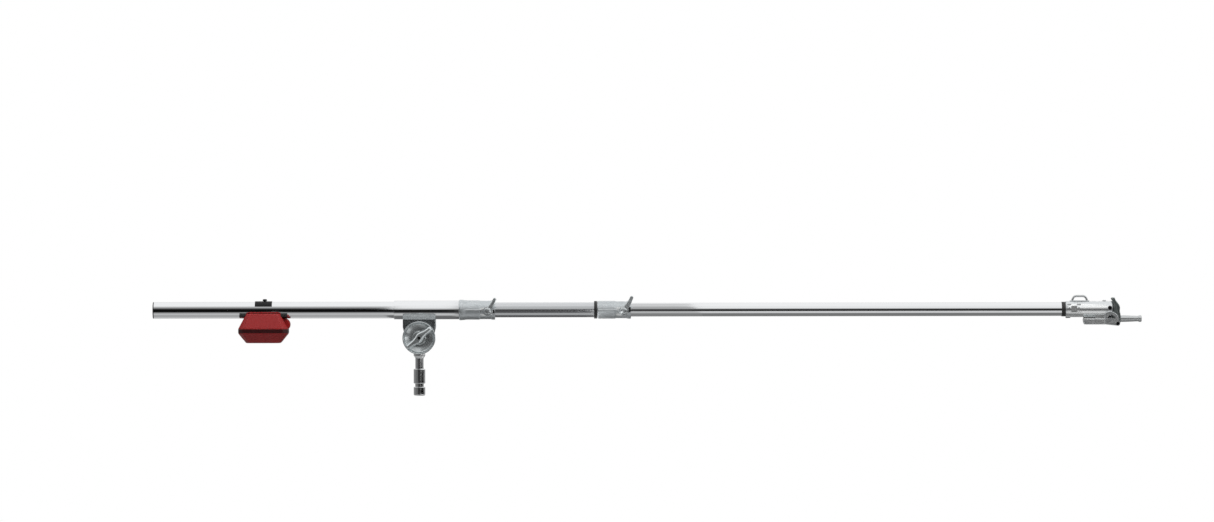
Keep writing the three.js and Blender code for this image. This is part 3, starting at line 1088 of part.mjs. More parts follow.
// Waisted iron casting with a trough for the tube, grooves for the rails and a carrying ear
function weightCasting() {
  const smallCorner = WEIGHT_CORNER * WEIGHT_CORNER_SHARE;
  const waistBottom = WEIGHT_WAIST_DROP + WEIGHT_WAIST_HEIGHT;
  const body = loft([
    cutCornerRing(WEIGHT_BOTTOM_LENGTH, WEIGHT_BOTTOM_DEPTH, smallCorner, -WEIGHT_BOTTOM_DROP),
    cutCornerRing(WEIGHT_WAIST_LENGTH, WEIGHT_WAIST_DEPTH, WEIGHT_CORNER, -waistBottom),
    cutCornerRing(WEIGHT_WAIST_LENGTH, WEIGHT_WAIST_DEPTH, WEIGHT_CORNER, -WEIGHT_WAIST_DROP),
    cutCornerRing(WEIGHT_TOP_LENGTH, WEIGHT_TOP_DEPTH, smallCorner, -WEIGHT_TOP_DROP),
  ]);
  const ear = rod('y', WEIGHT_EAR_DIAMETER / 2, -WEIGHT_EAR_THICKNESS / 2, WEIGHT_EAR_THICKNESS / 2,
    MEDIUM_SIDES, WEIGHT_EAR_ROUND).translate(WEIGHT_EAR_OFFSET, 0, -WEIGHT_EAR_DROP);
  const trough = rod('x', WEIGHT_TROUGH_DIAMETER / 2, -WEIGHT_WAIST_LENGTH, WEIGHT_WAIST_LENGTH, ROUND_SIDES);
  const groove = box(
    [-WEIGHT_WAIST_LENGTH, -RAIL_REACH - SEAT_GAP, -RAIL_DROP - RAIL_HEIGHT - SEAT_GAP],
    [WEIGHT_WAIST_LENGTH, RAIL_REACH + SEAT_GAP, -RAIL_DROP + SEAT_GAP],
  );
  return cut(join(body, ear), trough, groove,
    ...hookScrewHoles(HOOK_SCREW_SHANK / 2 + SEAT_GAP, HOOK_SCREW_SHANK_LENGTH + SEAT_GAP));
}

// A rubber rail beside the tube: square outside, hollowed where the tube rests on it
function cradleRail(side) {
  const rail = box([-RAIL_LENGTH / 2, 0, -RAIL_DROP - RAIL_HEIGHT], [RAIL_LENGTH / 2, RAIL_REACH, -RAIL_DROP]);
  const seat = rod('x', REAR_TUBE_RADIUS + SEAT_GAP, -RAIL_LENGTH, RAIL_LENGTH, ROUND_SIDES);
  const underTube = box([-RAIL_LENGTH, -CUT_OVERRUN, -RAIL_DROP - RAIL_HEIGHT - CUT_OVERRUN],
    [RAIL_LENGTH, REAR_TUBE_RADIUS / 2, -RAIL_DROP + CUT_OVERRUN]);
  const shaped = cut(rail, seat, underTube);
  return side < 0 ? shaped.rotateZ(Math.PI) : shaped;
}

// Strap over the tube: front lip, over the top, down the back, out over the casting and down its rear face
function weightHook() {
  const half = HOOK_THICKNESS / 2;
  const radius = REAR_TUBE_RADIUS + SEAT_GAP + half;
  const over = arc(0, 0, radius, 90 + HOOK_FRONT_ANGLE, 0, STRAP_STEPS);
  const shelf = -WEIGHT_TOP_DROP + SEAT_GAP + half;
  const innerBend = arc(radius + HOOK_BEND_RADIUS, shelf + HOOK_BEND_RADIUS, HOOK_BEND_RADIUS, 180, 270);
  const out = half + SEAT_GAP;
  const faceStart = [WEIGHT_TOP_DEPTH / 2 + out * Math.cos(WEIGHT_FACE_SLOPE),
    -WEIGHT_TOP_DROP + out * Math.sin(WEIGHT_FACE_SLOPE)];
  const down = (distance) => [faceStart[0] + distance * Math.sin(WEIGHT_FACE_SLOPE),
    faceStart[1] - distance * Math.cos(WEIGHT_FACE_SLOPE)];
  const corner = [WEIGHT_TOP_DEPTH / 2 + out * Math.tan(WEIGHT_FACE_SLOPE / 2 + Math.PI / 8), shelf];
  const path = [...over, ...innerBend, corner, down(HOOK_BEND_RADIUS / 2), down(HOOK_LEG_LENGTH)];
  const strap = bar(strip(path, path.map(() => half)), HOOK_WIDTH);
  const screwHole = rod('z', WEIGHT_SCREW_SHANK / 2 + SEAT_GAP, 0, REAR_TUBE_DIAMETER, SMALL_SIDES)
    .translate(WEIGHT_SCREW_OFFSET, 0, 0);
  return cut(strap, screwHole, ...hookScrewHoles(HOOK_SCREW_SHANK / 2 + SEAT_GAP, HOOK_SCREW_SHANK_LENGTH));
}

function hookScrew(side) {
  const seat = 2 * SEAT_GAP + HOOK_THICKNESS;
  return onRearFace(panScrew('y', HOOK_SCREW_DIAMETER / 2, HOOK_SCREW_HEIGHT, HOOK_SCREW_SHANK / 2, seat,
    -HOOK_SCREW_SHANK_LENGTH), side);
}

function weightScrew() {
  const seat = REAR_TUBE_RADIUS + 2 * SEAT_GAP + HOOK_THICKNESS;
  const headRadius = WEIGHT_SCREW_DIAMETER / 2;
  return turned('z', [
    [0, REAR_TUBE_RADIUS + SEAT_GAP],
    [WEIGHT_SCREW_SHANK / 2, REAR_TUBE_RADIUS + SEAT_GAP],
    [WEIGHT_SCREW_SHANK / 2, seat],
    [headRadius, seat],
    [headRadius, seat + WEIGHT_SCREW_HEIGHT * 2 / 3],
    [headRadius * 3 / 4, seat + WEIGHT_SCREW_HEIGHT],
    [0, seat + WEIGHT_SCREW_HEIGHT],
  ], SMALL_SIDES).translate(WEIGHT_SCREW_OFFSET, 0, 0);
}

function weightParts() {
  return [
    piece('weight_casting', weightCasting(), 'redEnamel'),
    piece('cradle_rail_front', cradleRail(-1), 'rubber'),
    piece('cradle_rail_rear', cradleRail(1), 'rubber'),
    piece('weight_hook', weightHook(), 'blackSteel'),
    piece('hook_screw_left', hookScrew(-1), 'darkSteel'),
    piece('hook_screw_right', hookScrew(1), 'darkSteel'),
    piece('weight_screw', weightScrew(), 'blackSteel'),
  ];
}

function group(parts, x = 0, z = 0) {
  const holder = new THREE.Group();
  holder.position.set(x, 0, z);
  holder.add(...parts);
  return holder;
}

const rearCollar = collarSet('rear', {
  start: REAR_COLLAR_START,
  barrel: REAR_COLLAR_BARREL,
  tubeRadius: REAR_TUBE_RADIUS,
  innerRadius: MIDDLE_TUBE_RADIUS,
  lipRise: COLLAR_LIP_RISE,
  leverLength: REAR_LEVER_LENGTH,
});
const frontCollar = collarSet('front', {
  start: FRONT_COLLAR_START,
  barrel: FRONT_COLLAR_BARREL,
  tubeRadius: MIDDLE_TUBE_RADIUS,
  innerRadius: FRONT_TUBE_RADIUS,
  lipRise: 0,
  leverLength: FRONT_LEVER_LENGTH,
});

const head = group([...headParts(), ...armParts(), ...lockParts()], HEAD_START);
const counterweight = group(weightParts(), -WEIGHT_DISTANCE);
const boom = group([
  ...boomParts(), ...knobParts(), ...rearCollar.fixed, ...rearCollar.lever,
  ...middleParts(), ...frontCollar.fixed, ...frontCollar.lever,
  ...frontParts(), head, counterweight,
], 0, AXIS_HEIGHT);
const assembly = group([...standParts(), boom]);

export default assembly;
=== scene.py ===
"""Looks of a telescopic lighting boom arm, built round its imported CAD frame. Sizes are millimetres until a mesh is
made; studio cards, lamp and camera are in metres."""
import json

import bpy
import bmesh
import numpy as np
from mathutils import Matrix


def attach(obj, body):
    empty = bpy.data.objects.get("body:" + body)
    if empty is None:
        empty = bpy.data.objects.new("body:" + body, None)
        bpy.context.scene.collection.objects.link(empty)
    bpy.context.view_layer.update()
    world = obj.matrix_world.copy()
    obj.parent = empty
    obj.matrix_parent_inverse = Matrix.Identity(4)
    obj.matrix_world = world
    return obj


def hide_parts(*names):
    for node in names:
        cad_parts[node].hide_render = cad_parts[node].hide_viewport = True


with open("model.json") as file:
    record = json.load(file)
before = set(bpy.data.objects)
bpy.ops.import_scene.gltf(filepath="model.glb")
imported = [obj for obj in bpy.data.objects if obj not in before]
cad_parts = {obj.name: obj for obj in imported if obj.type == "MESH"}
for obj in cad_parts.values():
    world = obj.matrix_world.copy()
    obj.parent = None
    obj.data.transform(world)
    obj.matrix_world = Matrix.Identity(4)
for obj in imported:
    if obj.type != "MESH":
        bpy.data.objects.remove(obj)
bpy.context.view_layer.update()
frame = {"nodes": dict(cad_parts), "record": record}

MM = 0.001
PIVOT = 140.5  # height of the tilt bolt, which runs along Y through X = 0
AXIS = 208.0  # height of the tubes' axis, which runs along X
REAR_RADIUS, MIDDLE_RADIUS, FRONT_RADIUS = 20, 18.1, 16.5  # outer radii of the tubes
WEIGHT = -378.5  # X of the counterweight's middle
HEAD = 1570.3  # X of the head's rear end
ROUND = 96  # sides of a turned piece, unless it says otherwise


# ---------------------------------------------------------------- colours and materials

def linear(code):
    """An sRGB hex colour as linear RGBA: c/12.92 below 0.04045, else ((c + 0.055)/1.055)^2.4."""
    rgb = np.array([int(code[i:i + 2], 16) / 255 for i in (1, 3, 5)])
    low = rgb / 12.92
    high = ((rgb + 0.055) / 1.055) ** 2.4
    return (*np.where(rgb <= 0.04045, low, high).tolist(), 1.0)


def add(tree, kind, links=None, **settings):
    """Adds a node: plain settings go to its attributes, names of sockets in `links` to their sockets or values."""
    made = tree.nodes.new(kind)
    for key, value in settings.items():
        setattr(made, key, value)
    for socket, value in (links or {}).items():
        target = made.inputs[socket]
        if isinstance(value, bpy.types.NodeSocket):
            tree.links.new(value, target)
        else:
            target.default_value = value
    return made


MIX_A, MIX_B, MIXED = 6, 7, 2  # a Mix node's sockets for colours
COAT_ROUGHNESS = 0.06
WEAR_STARTS, WEAR_FULL = 0.53, 0.6  # Pointiness of the edges
SHADE_BAND_FADE = 1.2  # mm to each side of the painted shade band's limits


def finish(name, colour, metallic, roughness, mottle, mottle_mm, spread, grain_mm, grain_depth, stretch=(1, 1, 1),
           coat=0.0, wear=None, specular=0.5, shade_band=None):
    """One surface: a base colour mottled towards `mottle`, roughness that wanders by `spread`, a fine grain as bump,
    `stretch` for turned or drawn marks along an axis, `wear` as a lighter colour on edges and high spots, and a
    painted shade band as (low, high, colour): another colour between two heights in mm, with soft edges, that stands
    in for shade there."""
    material = bpy.data.materials.new(name)
    material.use_nodes = True
    tree = material.node_tree
    shader = tree.nodes["Principled BSDF"]
    shader.inputs["Metallic"].default_value = metallic
    shader.inputs["Roughness"].default_value = roughness
    shader.inputs["Base Color"].default_value = linear(colour)
    shader.inputs["Specular IOR Level"].default_value = specular
    if coat:
        shader.inputs["Coat Weight"].default_value = coat
        shader.inputs["Coat Roughness"].default_value = COAT_ROUGHNESS
    place = add(tree, "ShaderNodeTexCoord").outputs["Object"]
    stretched = add(tree, "ShaderNodeMapping", {"Vector": place, "Scale": stretch}).outputs["Vector"]
    cloud = add(tree, "ShaderNodeTexNoise", {"Vector": stretched, "Scale": 1 / (mottle_mm * MM), "Detail": 4.0,
                                             "Roughness": 0.6}).outputs["Fac"]
    top = add(tree, "ShaderNodeMix", {"Factor": cloud, MIX_A: linear(colour), MIX_B: linear(mottle)},
              data_type="RGBA").outputs[MIXED]
    if wear:
        edge = add(tree, "ShaderNodeNewGeometry").outputs["Pointiness"]
        ramp = add(tree, "ShaderNodeMapRange", {"Value": edge, "From Min": WEAR_STARTS, "From Max": WEAR_FULL})
        top = add(tree, "ShaderNodeMix", {"Factor": ramp.outputs["Result"], MIX_A: top, MIX_B: linear(wear)},
                  data_type="RGBA").outputs[MIXED]
    # painted shade: a darker colour laid over a band of heights, for the shade that falls there
    if shade_band:
        low, high, other = shade_band
        middle, half = (low + high) / 2 * MM, (high - low) / 2 * MM
        height = add(tree, "ShaderNodeSeparateXYZ", {"Vector": place}).outputs["Z"]
        away = add(tree, "ShaderNodeMath", {0: height, 1: middle}, operation="SUBTRACT").outputs[0]
        away = add(tree, "ShaderNodeMath", {0: away}, operation="ABSOLUTE").outputs[0]
        inside = add(tree, "ShaderNodeMapRange", {"Value": away, "From Min": half - SHADE_BAND_FADE * MM,
                                                  "From Max": half + SHADE_BAND_FADE * MM, "To Min": 1.0, "To Max": 0.0})
        top = add(tree, "ShaderNodeMix", {"Factor": inside.outputs["Result"], MIX_A: top, MIX_B: linear(other)},
                  data_type="RGBA").outputs[MIXED]
    tree.links.new(top, shader.inputs["Base Color"])
    wander = add(tree, "ShaderNodeMapRange", {"Value": cloud, "From Min": 0.3, "From Max": 0.7,
                                              "To Min": roughness - spread, "To Max": roughness + spread})
    tree.links.new(wander.outputs["Result"], shader.inputs["Roughness"])
    grain = add(tree, "ShaderNodeTexNoise", {"Vector": stretched, "Scale": 1 / (grain_mm * MM), "Detail": 3.0})
    bump = add(tree, "ShaderNodeBump", {"Height": grain.outputs["Fac"], "Distance": grain_depth * MM,
                                        "Strength": 1.0})
    tree.links.new(bump.outputs["Normal"], shader.inputs["Normal"])
    return material


# Chrome plate on drawn steel tube: a clean mirror with faint draw lines along the tube
CHROME = finish("chrome_plate", "#f2f3f4", 1, 0.07, "#e6e8ea", 60, 0.02, 2, 0.002, (0.06, 1, 1))
# The middle section is duller than its neighbours, as satin nickel plate is
NICKEL = finish("satin_nickel_plate", "#e4e6e8", 1, 0.12, "#d8dbde", 60, 0.03, 2, 0.002, (0.06, 1, 1))
# Steel turned on a lathe: fine rings round the axis, bright but soft
TURNED = finish("turned_steel", "#e2e3e4", 1, 0.16, "#d3d5d6", 25, 0.04, 0.8, 0.004, (1, 1, 3))
# Bright zinc plate on small screws and bent wire: pale, soft, a little uneven
ZINC = finish("bright_zinc_plate", "#d6d8d8", 1, 0.34, "#c2c5c6", 6, 0.06, 0.7, 0.01)
# Blackened steel screws: dark oxide, a little oil sheen
BLACKENED = finish("blackened_steel", "#2b2d2f", 1, 0.36, "#1c1e20", 12, 0.06, 0.6, 0.01)
# Tumbled aluminium die casting: silvery, matt, brighter where edges have rubbed, a skin of small pits that is drawn
# coarser than it is, so that it shows
CAST = finish("tumbled_die_cast_aluminium", "#d6dadc", 0.8, 0.33, "#a9b0b3", 6, 0.08, 1.8, 0.06, wear="#eef0f0")
# Levers, ground and satin plated: smoother than the castings, so they mirror what lies in front of them
PLATED = finish("satin_plated_casting", "#d6dadb", 0.9, 0.28, "#b6bcbe", 10, 0.06, 1.2, 0.006)
# The knob, nickel plated over a ground dish: the strongest mirror of the castings, so bright bevels on a dark dish
KNOB = finish("nickel_plated_knob", "#dfe3e4", 0.87, 0.22, "#c3cacc", 14, 0.05, 1.2, 0.004)
# The same casting machined and buffed on the barrel: satin, still a mirror for broad lights
SATIN = finish("buffed_die_cast_aluminium", "#dfe2e3", 0.82, 0.22, "#c9cdcf", 10, 0.06, 1.5, 0.012, wear="#f0f2f2")
# Skin as cast, left on the yoke: darker, its pits drawn coarse so that they show; mirrors the studio in patches
YOKE_SKIN = finish("as_cast_aluminium", "#b4b9bb", 0.97, 0.26, "#878d90", 5, 0.08, 3.6, 0.25, wear="#dfe3e4")
# The claw is a darker, bluish casting
DARK_CAST = finish("dark_die_casting", "#9aa3a1", 1, 0.34, "#838c8a", 14, 0.06, 1.4, 0.02, wear="#b9c1bf")
# Oven enamel on an iron casting: glossy red with a slight orange-peel skin, and painted shade at the waist: a band of
# dark red where the upright waist face sits in shade
RED = finish("red_stoving_enamel", "#8c0b0d", 0, 0.42, "#770809", 30, 0.06, 3.5, 0.05, coat=0.05, specular=0.35,
             shade_band=(AXIS - 55.6, AXIS - 45.6, "#2c0607"))
# Satin black paint on bent sheet
BLACK_PAINT = finish("satin_black_paint", "#0c0c0d", 0, 0.5, "#141415", 15, 0.05, 0.9, 0.01, specular=0.2)
# Moulded rubber: matt, with a bloom of grey
RUBBER = finish("moulded_rubber", "#131313", 0, 0.5, "#1d1d1d", 9, 0.06, 0.7, 0.02, specular=0.6)
# Moulded plastic cap: black, fine eroded skin
PLASTIC = finish("moulded_black_plastic", "#1b1b1c", 0, 0.45, "#232324", 12, 0.05, 0.6, 0.01)
# Natural nylon guides: milky off-white
NYLON = finish("natural_nylon", "#dcd8cc", 0, 0.5, "#cfcabc", 14, 0.05, 0.8, 0.01)
# Pressed friction lining: dry brown with chopped fibres
LINING = finish("pressed_friction_lining", "#57493d", 0, 0.85, "#463a30", 3, 0.05, 0.5, 0.03)

SLOT_OF = {
    CHROME: "chrome_tube", NICKEL: "chrome_tube", TURNED: "machined_steel", BLACKENED: "dark_steel",
    CAST: "cast_aluminium", PLATED: "cast_aluminium", KNOB: "cast_aluminium", SATIN: "cast_aluminium",
    YOKE_SKIN: "cast_aluminium", ZINC: "machined_steel", DARK_CAST: "dark_casting", RED: "red_enamel",
    BLACK_PAINT: "black_painted_steel", RUBBER: "black_rubber", PLASTIC: "black_plastic", NYLON: "natural_plastic",
    LINING: "friction_lining",
}
# The first material of each slot, for the solids that no piece dresses
MATERIAL_OF_SLOT = {slot: material for material, slot in reversed(SLOT_OF.items())}


# ---------------------------------------------------------------- shapes

def rounded(points, steps=5):
    """A line through [u, v, r] points whose corners are curves: each corner P with reach r turns into the
    quadratic curve (1-s)^2 A + 2 s (1-s) P + s^2 B between A and B, which lie r before and after it."""
    pts = [np.array(p[:2], float) for p in points]
    reach = [p[2] if len(p) > 2 else 0.0 for p in points]
    out = []
    for i, p in enumerate(pts):
        if reach[i] <= 0 or i in (0, len(pts) - 1):
            out.append(p)
            continue
        back, ahead = pts[i - 1] - p, pts[i + 1] - p
        a = p + back / np.linalg.norm(back) * min(reach[i], 0.49 * np.linalg.norm(back))
        b = p + ahead / np.linalg.norm(ahead) * min(reach[i], 0.49 * np.linalg.norm(ahead))
        s = np.linspace(0, 1, steps + 1)[:, None]
        out.extend((1 - s) ** 2 * a + 2 * s * (1 - s) * p + s ** 2 * b)
    return np.array(out)


def closed_rounded(points, steps=4):
    """The same for an outline that closes on itself."""
    wrapped = [points[-1], *points, points[0]]
    reach = [p[2] if len(p) > 2 else 0.0 for p in wrapped]
    flat = [[p[0], p[1], r] for p, r in zip(wrapped, reach)]
    line = rounded(flat, steps)
    return line[1:-1]


def bow(start, pull, end, steps=12):
    """Quadratic curve (1-s)^2 A + 2 s (1-s) P + s^2 B from A to B, drawn towards P."""
    s = np.linspace(0, 1, steps + 1)[:, None]
    a, p, b = (np.array(k, float) for k in (start, pull, end))
    return (1 - s) ** 2 * a + 2 * s * (1 - s) * p + s ** 2 * b


def arc(radius, start, end, count):
    """Points of a circle about the origin between two angles in degrees: (r cos t, r sin t)."""
    t = np.radians(np.linspace(start, end, count))
    return np.stack([radius * np.cos(t), radius * np.sin(t)], 1)


AXES = {"x": ((0, 1, 0), (0, 0, 1), (1, 0, 0)), "y": ((0, 0, 1), (1, 0, 0), (0, 1, 0)),
        "z": ((1, 0, 0), (0, 1, 0), (0, 0, 1))}


def revolved(profile, axis="x", centre=(0, 0, 0), ring=False, sides=ROUND):
    """Surface of revolution: point = centre + r cos(t) U + r sin(t) V + a W for the profile's [r, a] points, with W
    the axis. A profile that meets the axis closes at a pole, and a ring's profile closes on itself."""
    profile = np.asarray(profile, float)
    u, v, w = (np.array(k, float) for k in AXES[axis])
    t = np.linspace(0, 2 * np.pi, sides, endpoint=False)
    r, a = profile[:, 0:1], profile[:, 1:2]
    grid = (r[..., None] * np.cos(t)[None, :, None] * u + r[..., None] * np.sin(t)[None, :, None] * v
            + a[..., None] * w) + np.array(centre, float)
    return grid_mesh(grid, wrap_rows=ring)


def rod(radius, start, end, axis="x", centre=(0, 0, 0), sides=ROUND):
    """Plain cylinder between two places along its axis."""
    return revolved([[0, start], [radius, start], [radius, end], [0, end]], axis, centre, sides=sides)


def grid_mesh(grid, wrap_rows=False, caps=False):
    """Vertices and quads of a grid of rows x columns x 3 that closes round its columns, and round its rows too if
    asked. Caps close the first and last rows with one face each."""
    rows, cols = grid.shape[:2]
    index = np.arange(rows * cols).reshape(rows, cols)
    lower = index if wrap_rows else index[:-1]
    upper = np.roll(index, -1, 0) if wrap_rows else index[1:]
    quads = np.stack([lower, np.roll(lower, -1, 1), np.roll(upper, -1, 1), upper], -1).reshape(-1, 4)
    faces = quads.tolist()
    if caps:
        faces += [index[0][::-1].tolist(), index[-1].tolist()]
    return grid.reshape(-1, 3), faces


def slab(outline, y0, y1, edge=0.0, depth=None, steps=4):
    """An X-Z outline extruded along Y whose rims are rounded: at rim angle s the outline is drawn in by
    edge (1 - sin s) and lies depth (1 - cos s) from the face."""
    outline = np.asarray(outline, float)
    depth = edge if depth is None else depth
    ahead = np.roll(outline, -1, 0) - outline
    ahead /= np.linalg.norm(ahead, axis=1, keepdims=True)
    behind = np.roll(ahead, 1, 0)
    normal = np.stack([ahead[:, 1] + behind[:, 1], -ahead[:, 0] - behind[:, 0]], 1)
    normal /= np.linalg.norm(normal, axis=1, keepdims=True)
    mitre = 1 / np.clip(np.abs((normal * np.stack([ahead[:, 1], -ahead[:, 0]], 1)).sum(1)), 0.6, 1)
    turn = np.sign(np.sum(outline[:, 0] * np.roll(outline[:, 1], -1) - np.roll(outline[:, 0], -1) * outline[:, 1]))
    inward = -normal * turn * mitre[:, None]
    s = np.linspace(0, np.pi / 2, steps + 1) if edge else np.array([np.pi / 2])
    draw = edge * (1 - np.sin(s))
    rise = depth * (1 - np.cos(s)) if edge else np.array([0.0])
    rows = [(y0 + h, d) for h, d in zip(rise, draw)] + [(y1 - h, d) for h, d in zip(rise[::-1], draw[::-1])]
    grid = np.stack([np.stack([outline[:, 0] + inward[:, 0] * d, np.full(len(outline), y),
                               outline[:, 1] + inward[:, 1] * d], 1) for y, d in rows])
    return grid_mesh(grid, caps=True)


def swept(path, section, side=(0, 1, 0)):
    """A closed section carried along a path: point = P(i) + a S + b N(i), where S is the fixed side direction and
    N = T x S follows the path's tangent T."""
    path = np.asarray(path, float)
    section = np.asarray(section, float)
    tangent = np.gradient(path, axis=0)
    tangent /= np.linalg.norm(tangent, axis=1, keepdims=True)
    s = np.array(side, float)
    normal = np.cross(tangent, s)
    normal /= np.linalg.norm(normal, axis=1, keepdims=True)
    grid = path[:, None] + section[None, :, 0:1] * s + section[None, :, 1:2] * normal[:, None]
    return grid_mesh(grid, caps=True)


def circle(radius, sides=24):
    t = np.linspace(0, 2 * np.pi, sides, endpoint=False)
    return np.stack([radius * np.cos(t), radius * np.sin(t)], 1)


def block(low, high):
    """A box between two corners, for cuts."""
    x, y, z = np.array([low, high], float).T
    corners = np.array([[x[i], y[j], z[k]] for i in (0, 1) for j in (0, 1) for k in (0, 1)])
    faces = [[0, 1, 3, 2], [4, 6, 7, 5], [0, 4, 5, 1], [2, 3, 7, 6], [0, 2, 6, 4], [1, 5, 7, 3]]
    return corners, faces


def moved(shape, x=0, y=0, z=0):
    return shape[0] + np.array([x, y, z], float), shape[1]


def turned_about_y(shape, degrees):
    """Turns a shape in the X-Z plane, anticlockwise as seen from the front."""
    a = np.radians(degrees)
    m = np.array([[np.cos(a), 0, -np.sin(a)], [0, 1, 0], [np.sin(a), 0, np.cos(a)]])
    return shape[0] @ m.T, shape[1]


def turned_about_x(shape, degrees):
    """Turns a shape in the Y-Z plane, from Y towards Z."""
    a = np.radians(degrees)
    m = np.array([[1, 0, 0], [0, np.cos(a), -np.sin(a)], [0, np.sin(a), np.cos(a)]])
    return shape[0] @ m.T, shape[1]


def prism(section, x0, x1):
    """A Y-Z outline carried straight along X."""
    section = np.asarray(section, float)
    return grid_mesh(np.stack([np.column_stack([np.full(len(section), x), section]) for x in (x0, x1)]), caps=True)


WELD, SLIVER = 1e-6, 1e-7  # metres: points nearer than this merge, and shorter edges go
CREASE = 30  # degrees by which an edge turns that gets a bevel


def raw_object(name, shapes):
    """One object from closed shapes: doubles merged, so poles close, and normals turned outwards."""
    mesh = bpy.data.meshes.new(name)
    offset, verts, faces = 0, [], []
    for points, polygons in shapes:
        verts.append(points)
        faces += [[i + offset for i in face] for face in polygons]
        offset += len(points)
    mesh.from_pydata((np.concatenate(verts) * MM).tolist(), [], faces)
    work = bmesh.new()
    work.from_mesh(mesh)
    bmesh.ops.remove_doubles(work, verts=work.verts, dist=WELD)
    bmesh.ops.dissolve_degenerate(work, dist=SLIVER, edges=work.edges)
    bmesh.ops.recalc_face_normals(work, faces=work.faces)
    work.to_mesh(mesh)
    work.free()
    made = bpy.data.objects.new(name, mesh)
    bpy.context.scene.collection.objects.link(made)
    return made


def applied(made):
    """Bakes an object's modifiers into its mesh."""
    view = bpy.context.evaluated_depsgraph_get()
    mesh = bpy.data.meshes.new_from_object(made.evaluated_get(view))
    made.modifiers.clear()
    made.data = mesh


def bevelled(made, width, segments, angle):
    """Rounds the edges that turn by more than `angle` degrees, over `width` mm."""
    edge = made.modifiers.new("bevel", "BEVEL")
    edge.width, edge.segments, edge.limit_method, edge.angle_limit = width * MM, segments, "ANGLE", np.radians(angle)
    applied(made)


def piece(name, body, material, shapes, joins=(), cuts=(), bevel=0.0, smooth=35, replaces=()):
    """A finished piece: shapes as one object, `joins` united with it, `cuts` taken out, sharp edges bevelled by
    `bevel` mm, shaded smooth below `smooth` degrees with the large faces kept level."""
    made = raw_object(name, shapes)
    for operation, others in (("UNION", joins), ("DIFFERENCE", cuts)):
        for other in others:
            tool = raw_object("tool", [other])
            change = made.modifiers.new("cut", "BOOLEAN")
            change.operation, change.object, change.solver = operation, tool, "MANIFOLD"
            applied(made)
            bpy.data.objects.remove(tool)
    if bevel:
        bevelled(made, bevel, 2, CREASE)
    made.data.polygons.foreach_set("use_smooth", np.ones(len(made.data.polygons), bool))
    made.data.set_sharp_from_angle(angle=np.radians(smooth))
    level = made.modifiers.new("normals", "WEIGHTED_NORMAL")
    level.mode, level.weight, level.keep_sharp = "FACE_AREA", 50, True
    applied(made)
    made.data.name = name
    made.data.materials.clear()
    made.data.materials.append(material)
    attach(made, body)
    if replaces:
        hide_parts(*replaces)


# ---------------------------------------------------------------- stand spigot and pivot

DROP = PIVOT - AXIS  # the tilt bolt's height from the tubes' axis
BOLT_BORE = 8.3

piece("spigot_surface", "stand_mount", TURNED, [revolved(rounded([
    [0, 0], [14, 0, 4], [14, 21, 1.6], [10.5, 21, 0.5], [10.5, 29.5, 0.5], [14, 29.5, 1.8], [14, 65, 2.2],
    [10, 65, 0.6], [10, 91, 1.5], [14, 97, 1], [14, 102, 0.4], [8, 102], [8, 122], [0, 122]]), "z")],
    replaces=["stand_spigot"])

piece("pivot_block_surface", "stand_mount", CAST,
      [revolved(rounded([[0, -18], [34, -18, 2], [34, 18, 2], [0, 18]]), "y", (0, 0, PIVOT))],
      joins=[revolved([[0, 102.3], [12.5, 102.3], [13, 102.8], [13, 128], [0, 128]], "z", sides=64)],
      cuts=[rod(BOLT_BORE, -30, 30, "y", (0, 0, PIVOT), 64)],
      bevel=0.8, replaces=["pivot_block"])


def yoke_outline():
    """Front outline of the yoke: lugs beside the sleeve, straight sides, and a round end about the pivot."""
    shoulder = rounded([[27, -9], [39.7, -9, 6], [39.7, -42]], 6)
    right = np.concatenate([shoulder[:-1], bow([39.7, -42], [36, -54.75], [36, DROP])[:-1]])
    return np.concatenate([right, arc(36, 0, -180, 49) + [0, DROP], right[::-1] * [-1, 1]])


# Y-Z section that slopes the yoke's shoulder in to the sleeve, at the back and mirrored at the front
SHOULDER_CUT = np.array([[28, -7], [28, -24], [26.6, -22], [21.8, -10], [21, -7]])
# The gap for the block, the sleeve's seat, the bolt's round hole and the square one of its neck, and the slopes
YOKE_CUTS = [
    block((-60, -21.2, -130), (60, 21.2, -28)),
    rod(22.8, -60, 60),
    rod(BOLT_BORE, -40, 0, "y", (0, 0, DROP), 48),
    block((-8.3, 0, -75.8), (8.3, 40, -59.2)),
    *[prism(SHOULDER_CUT * [side, 1], -60, 60) for side in (-1, 1)],
]
piece("yoke_surface", "boom", YOKE_SKIN, [moved(slab(yoke_outline(), -27, 27, 1.5), z=AXIS)],
      cuts=[moved(cut, z=AXIS) for cut in YOKE_CUTS], bevel=0.8, replaces=["yoke"])

piece("tilt_bolt_surface", "boom", TURNED,
      [revolved(rounded([[0, 36.3], [6, 36.1, 2], [13, 33, 4], [17, 27.6, 0.6], [17, 27.3], [8, 27.3], [8, -42.1],
                         [0, -42.1]]), "y", (0, 0, PIVOT), sides=64),
       block((-8, 21.5, PIVOT - 8), (8, 27.4, PIVOT + 8))], replaces=["tilt_bolt"])

# ---------------------------------------------------------------- tubes, sleeve, rings and caps


def tube_ring(radius, bore, start, end, edge):
    """Closed profile of a tube wall with eased ends."""
    return closed_rounded([[bore, start, edge / 2], [radius, start, edge], [radius, end, edge],
                           [bore, end, edge / 2]], 3)


def tube_piece(name, body, material, radius, bore, start, end, edge, node):
    piece(name, body, material, [revolved(tube_ring(radius, bore, start, end, edge), "x", (0, 0, AXIS), ring=True,
                                          sides=128)], replaces=[node])


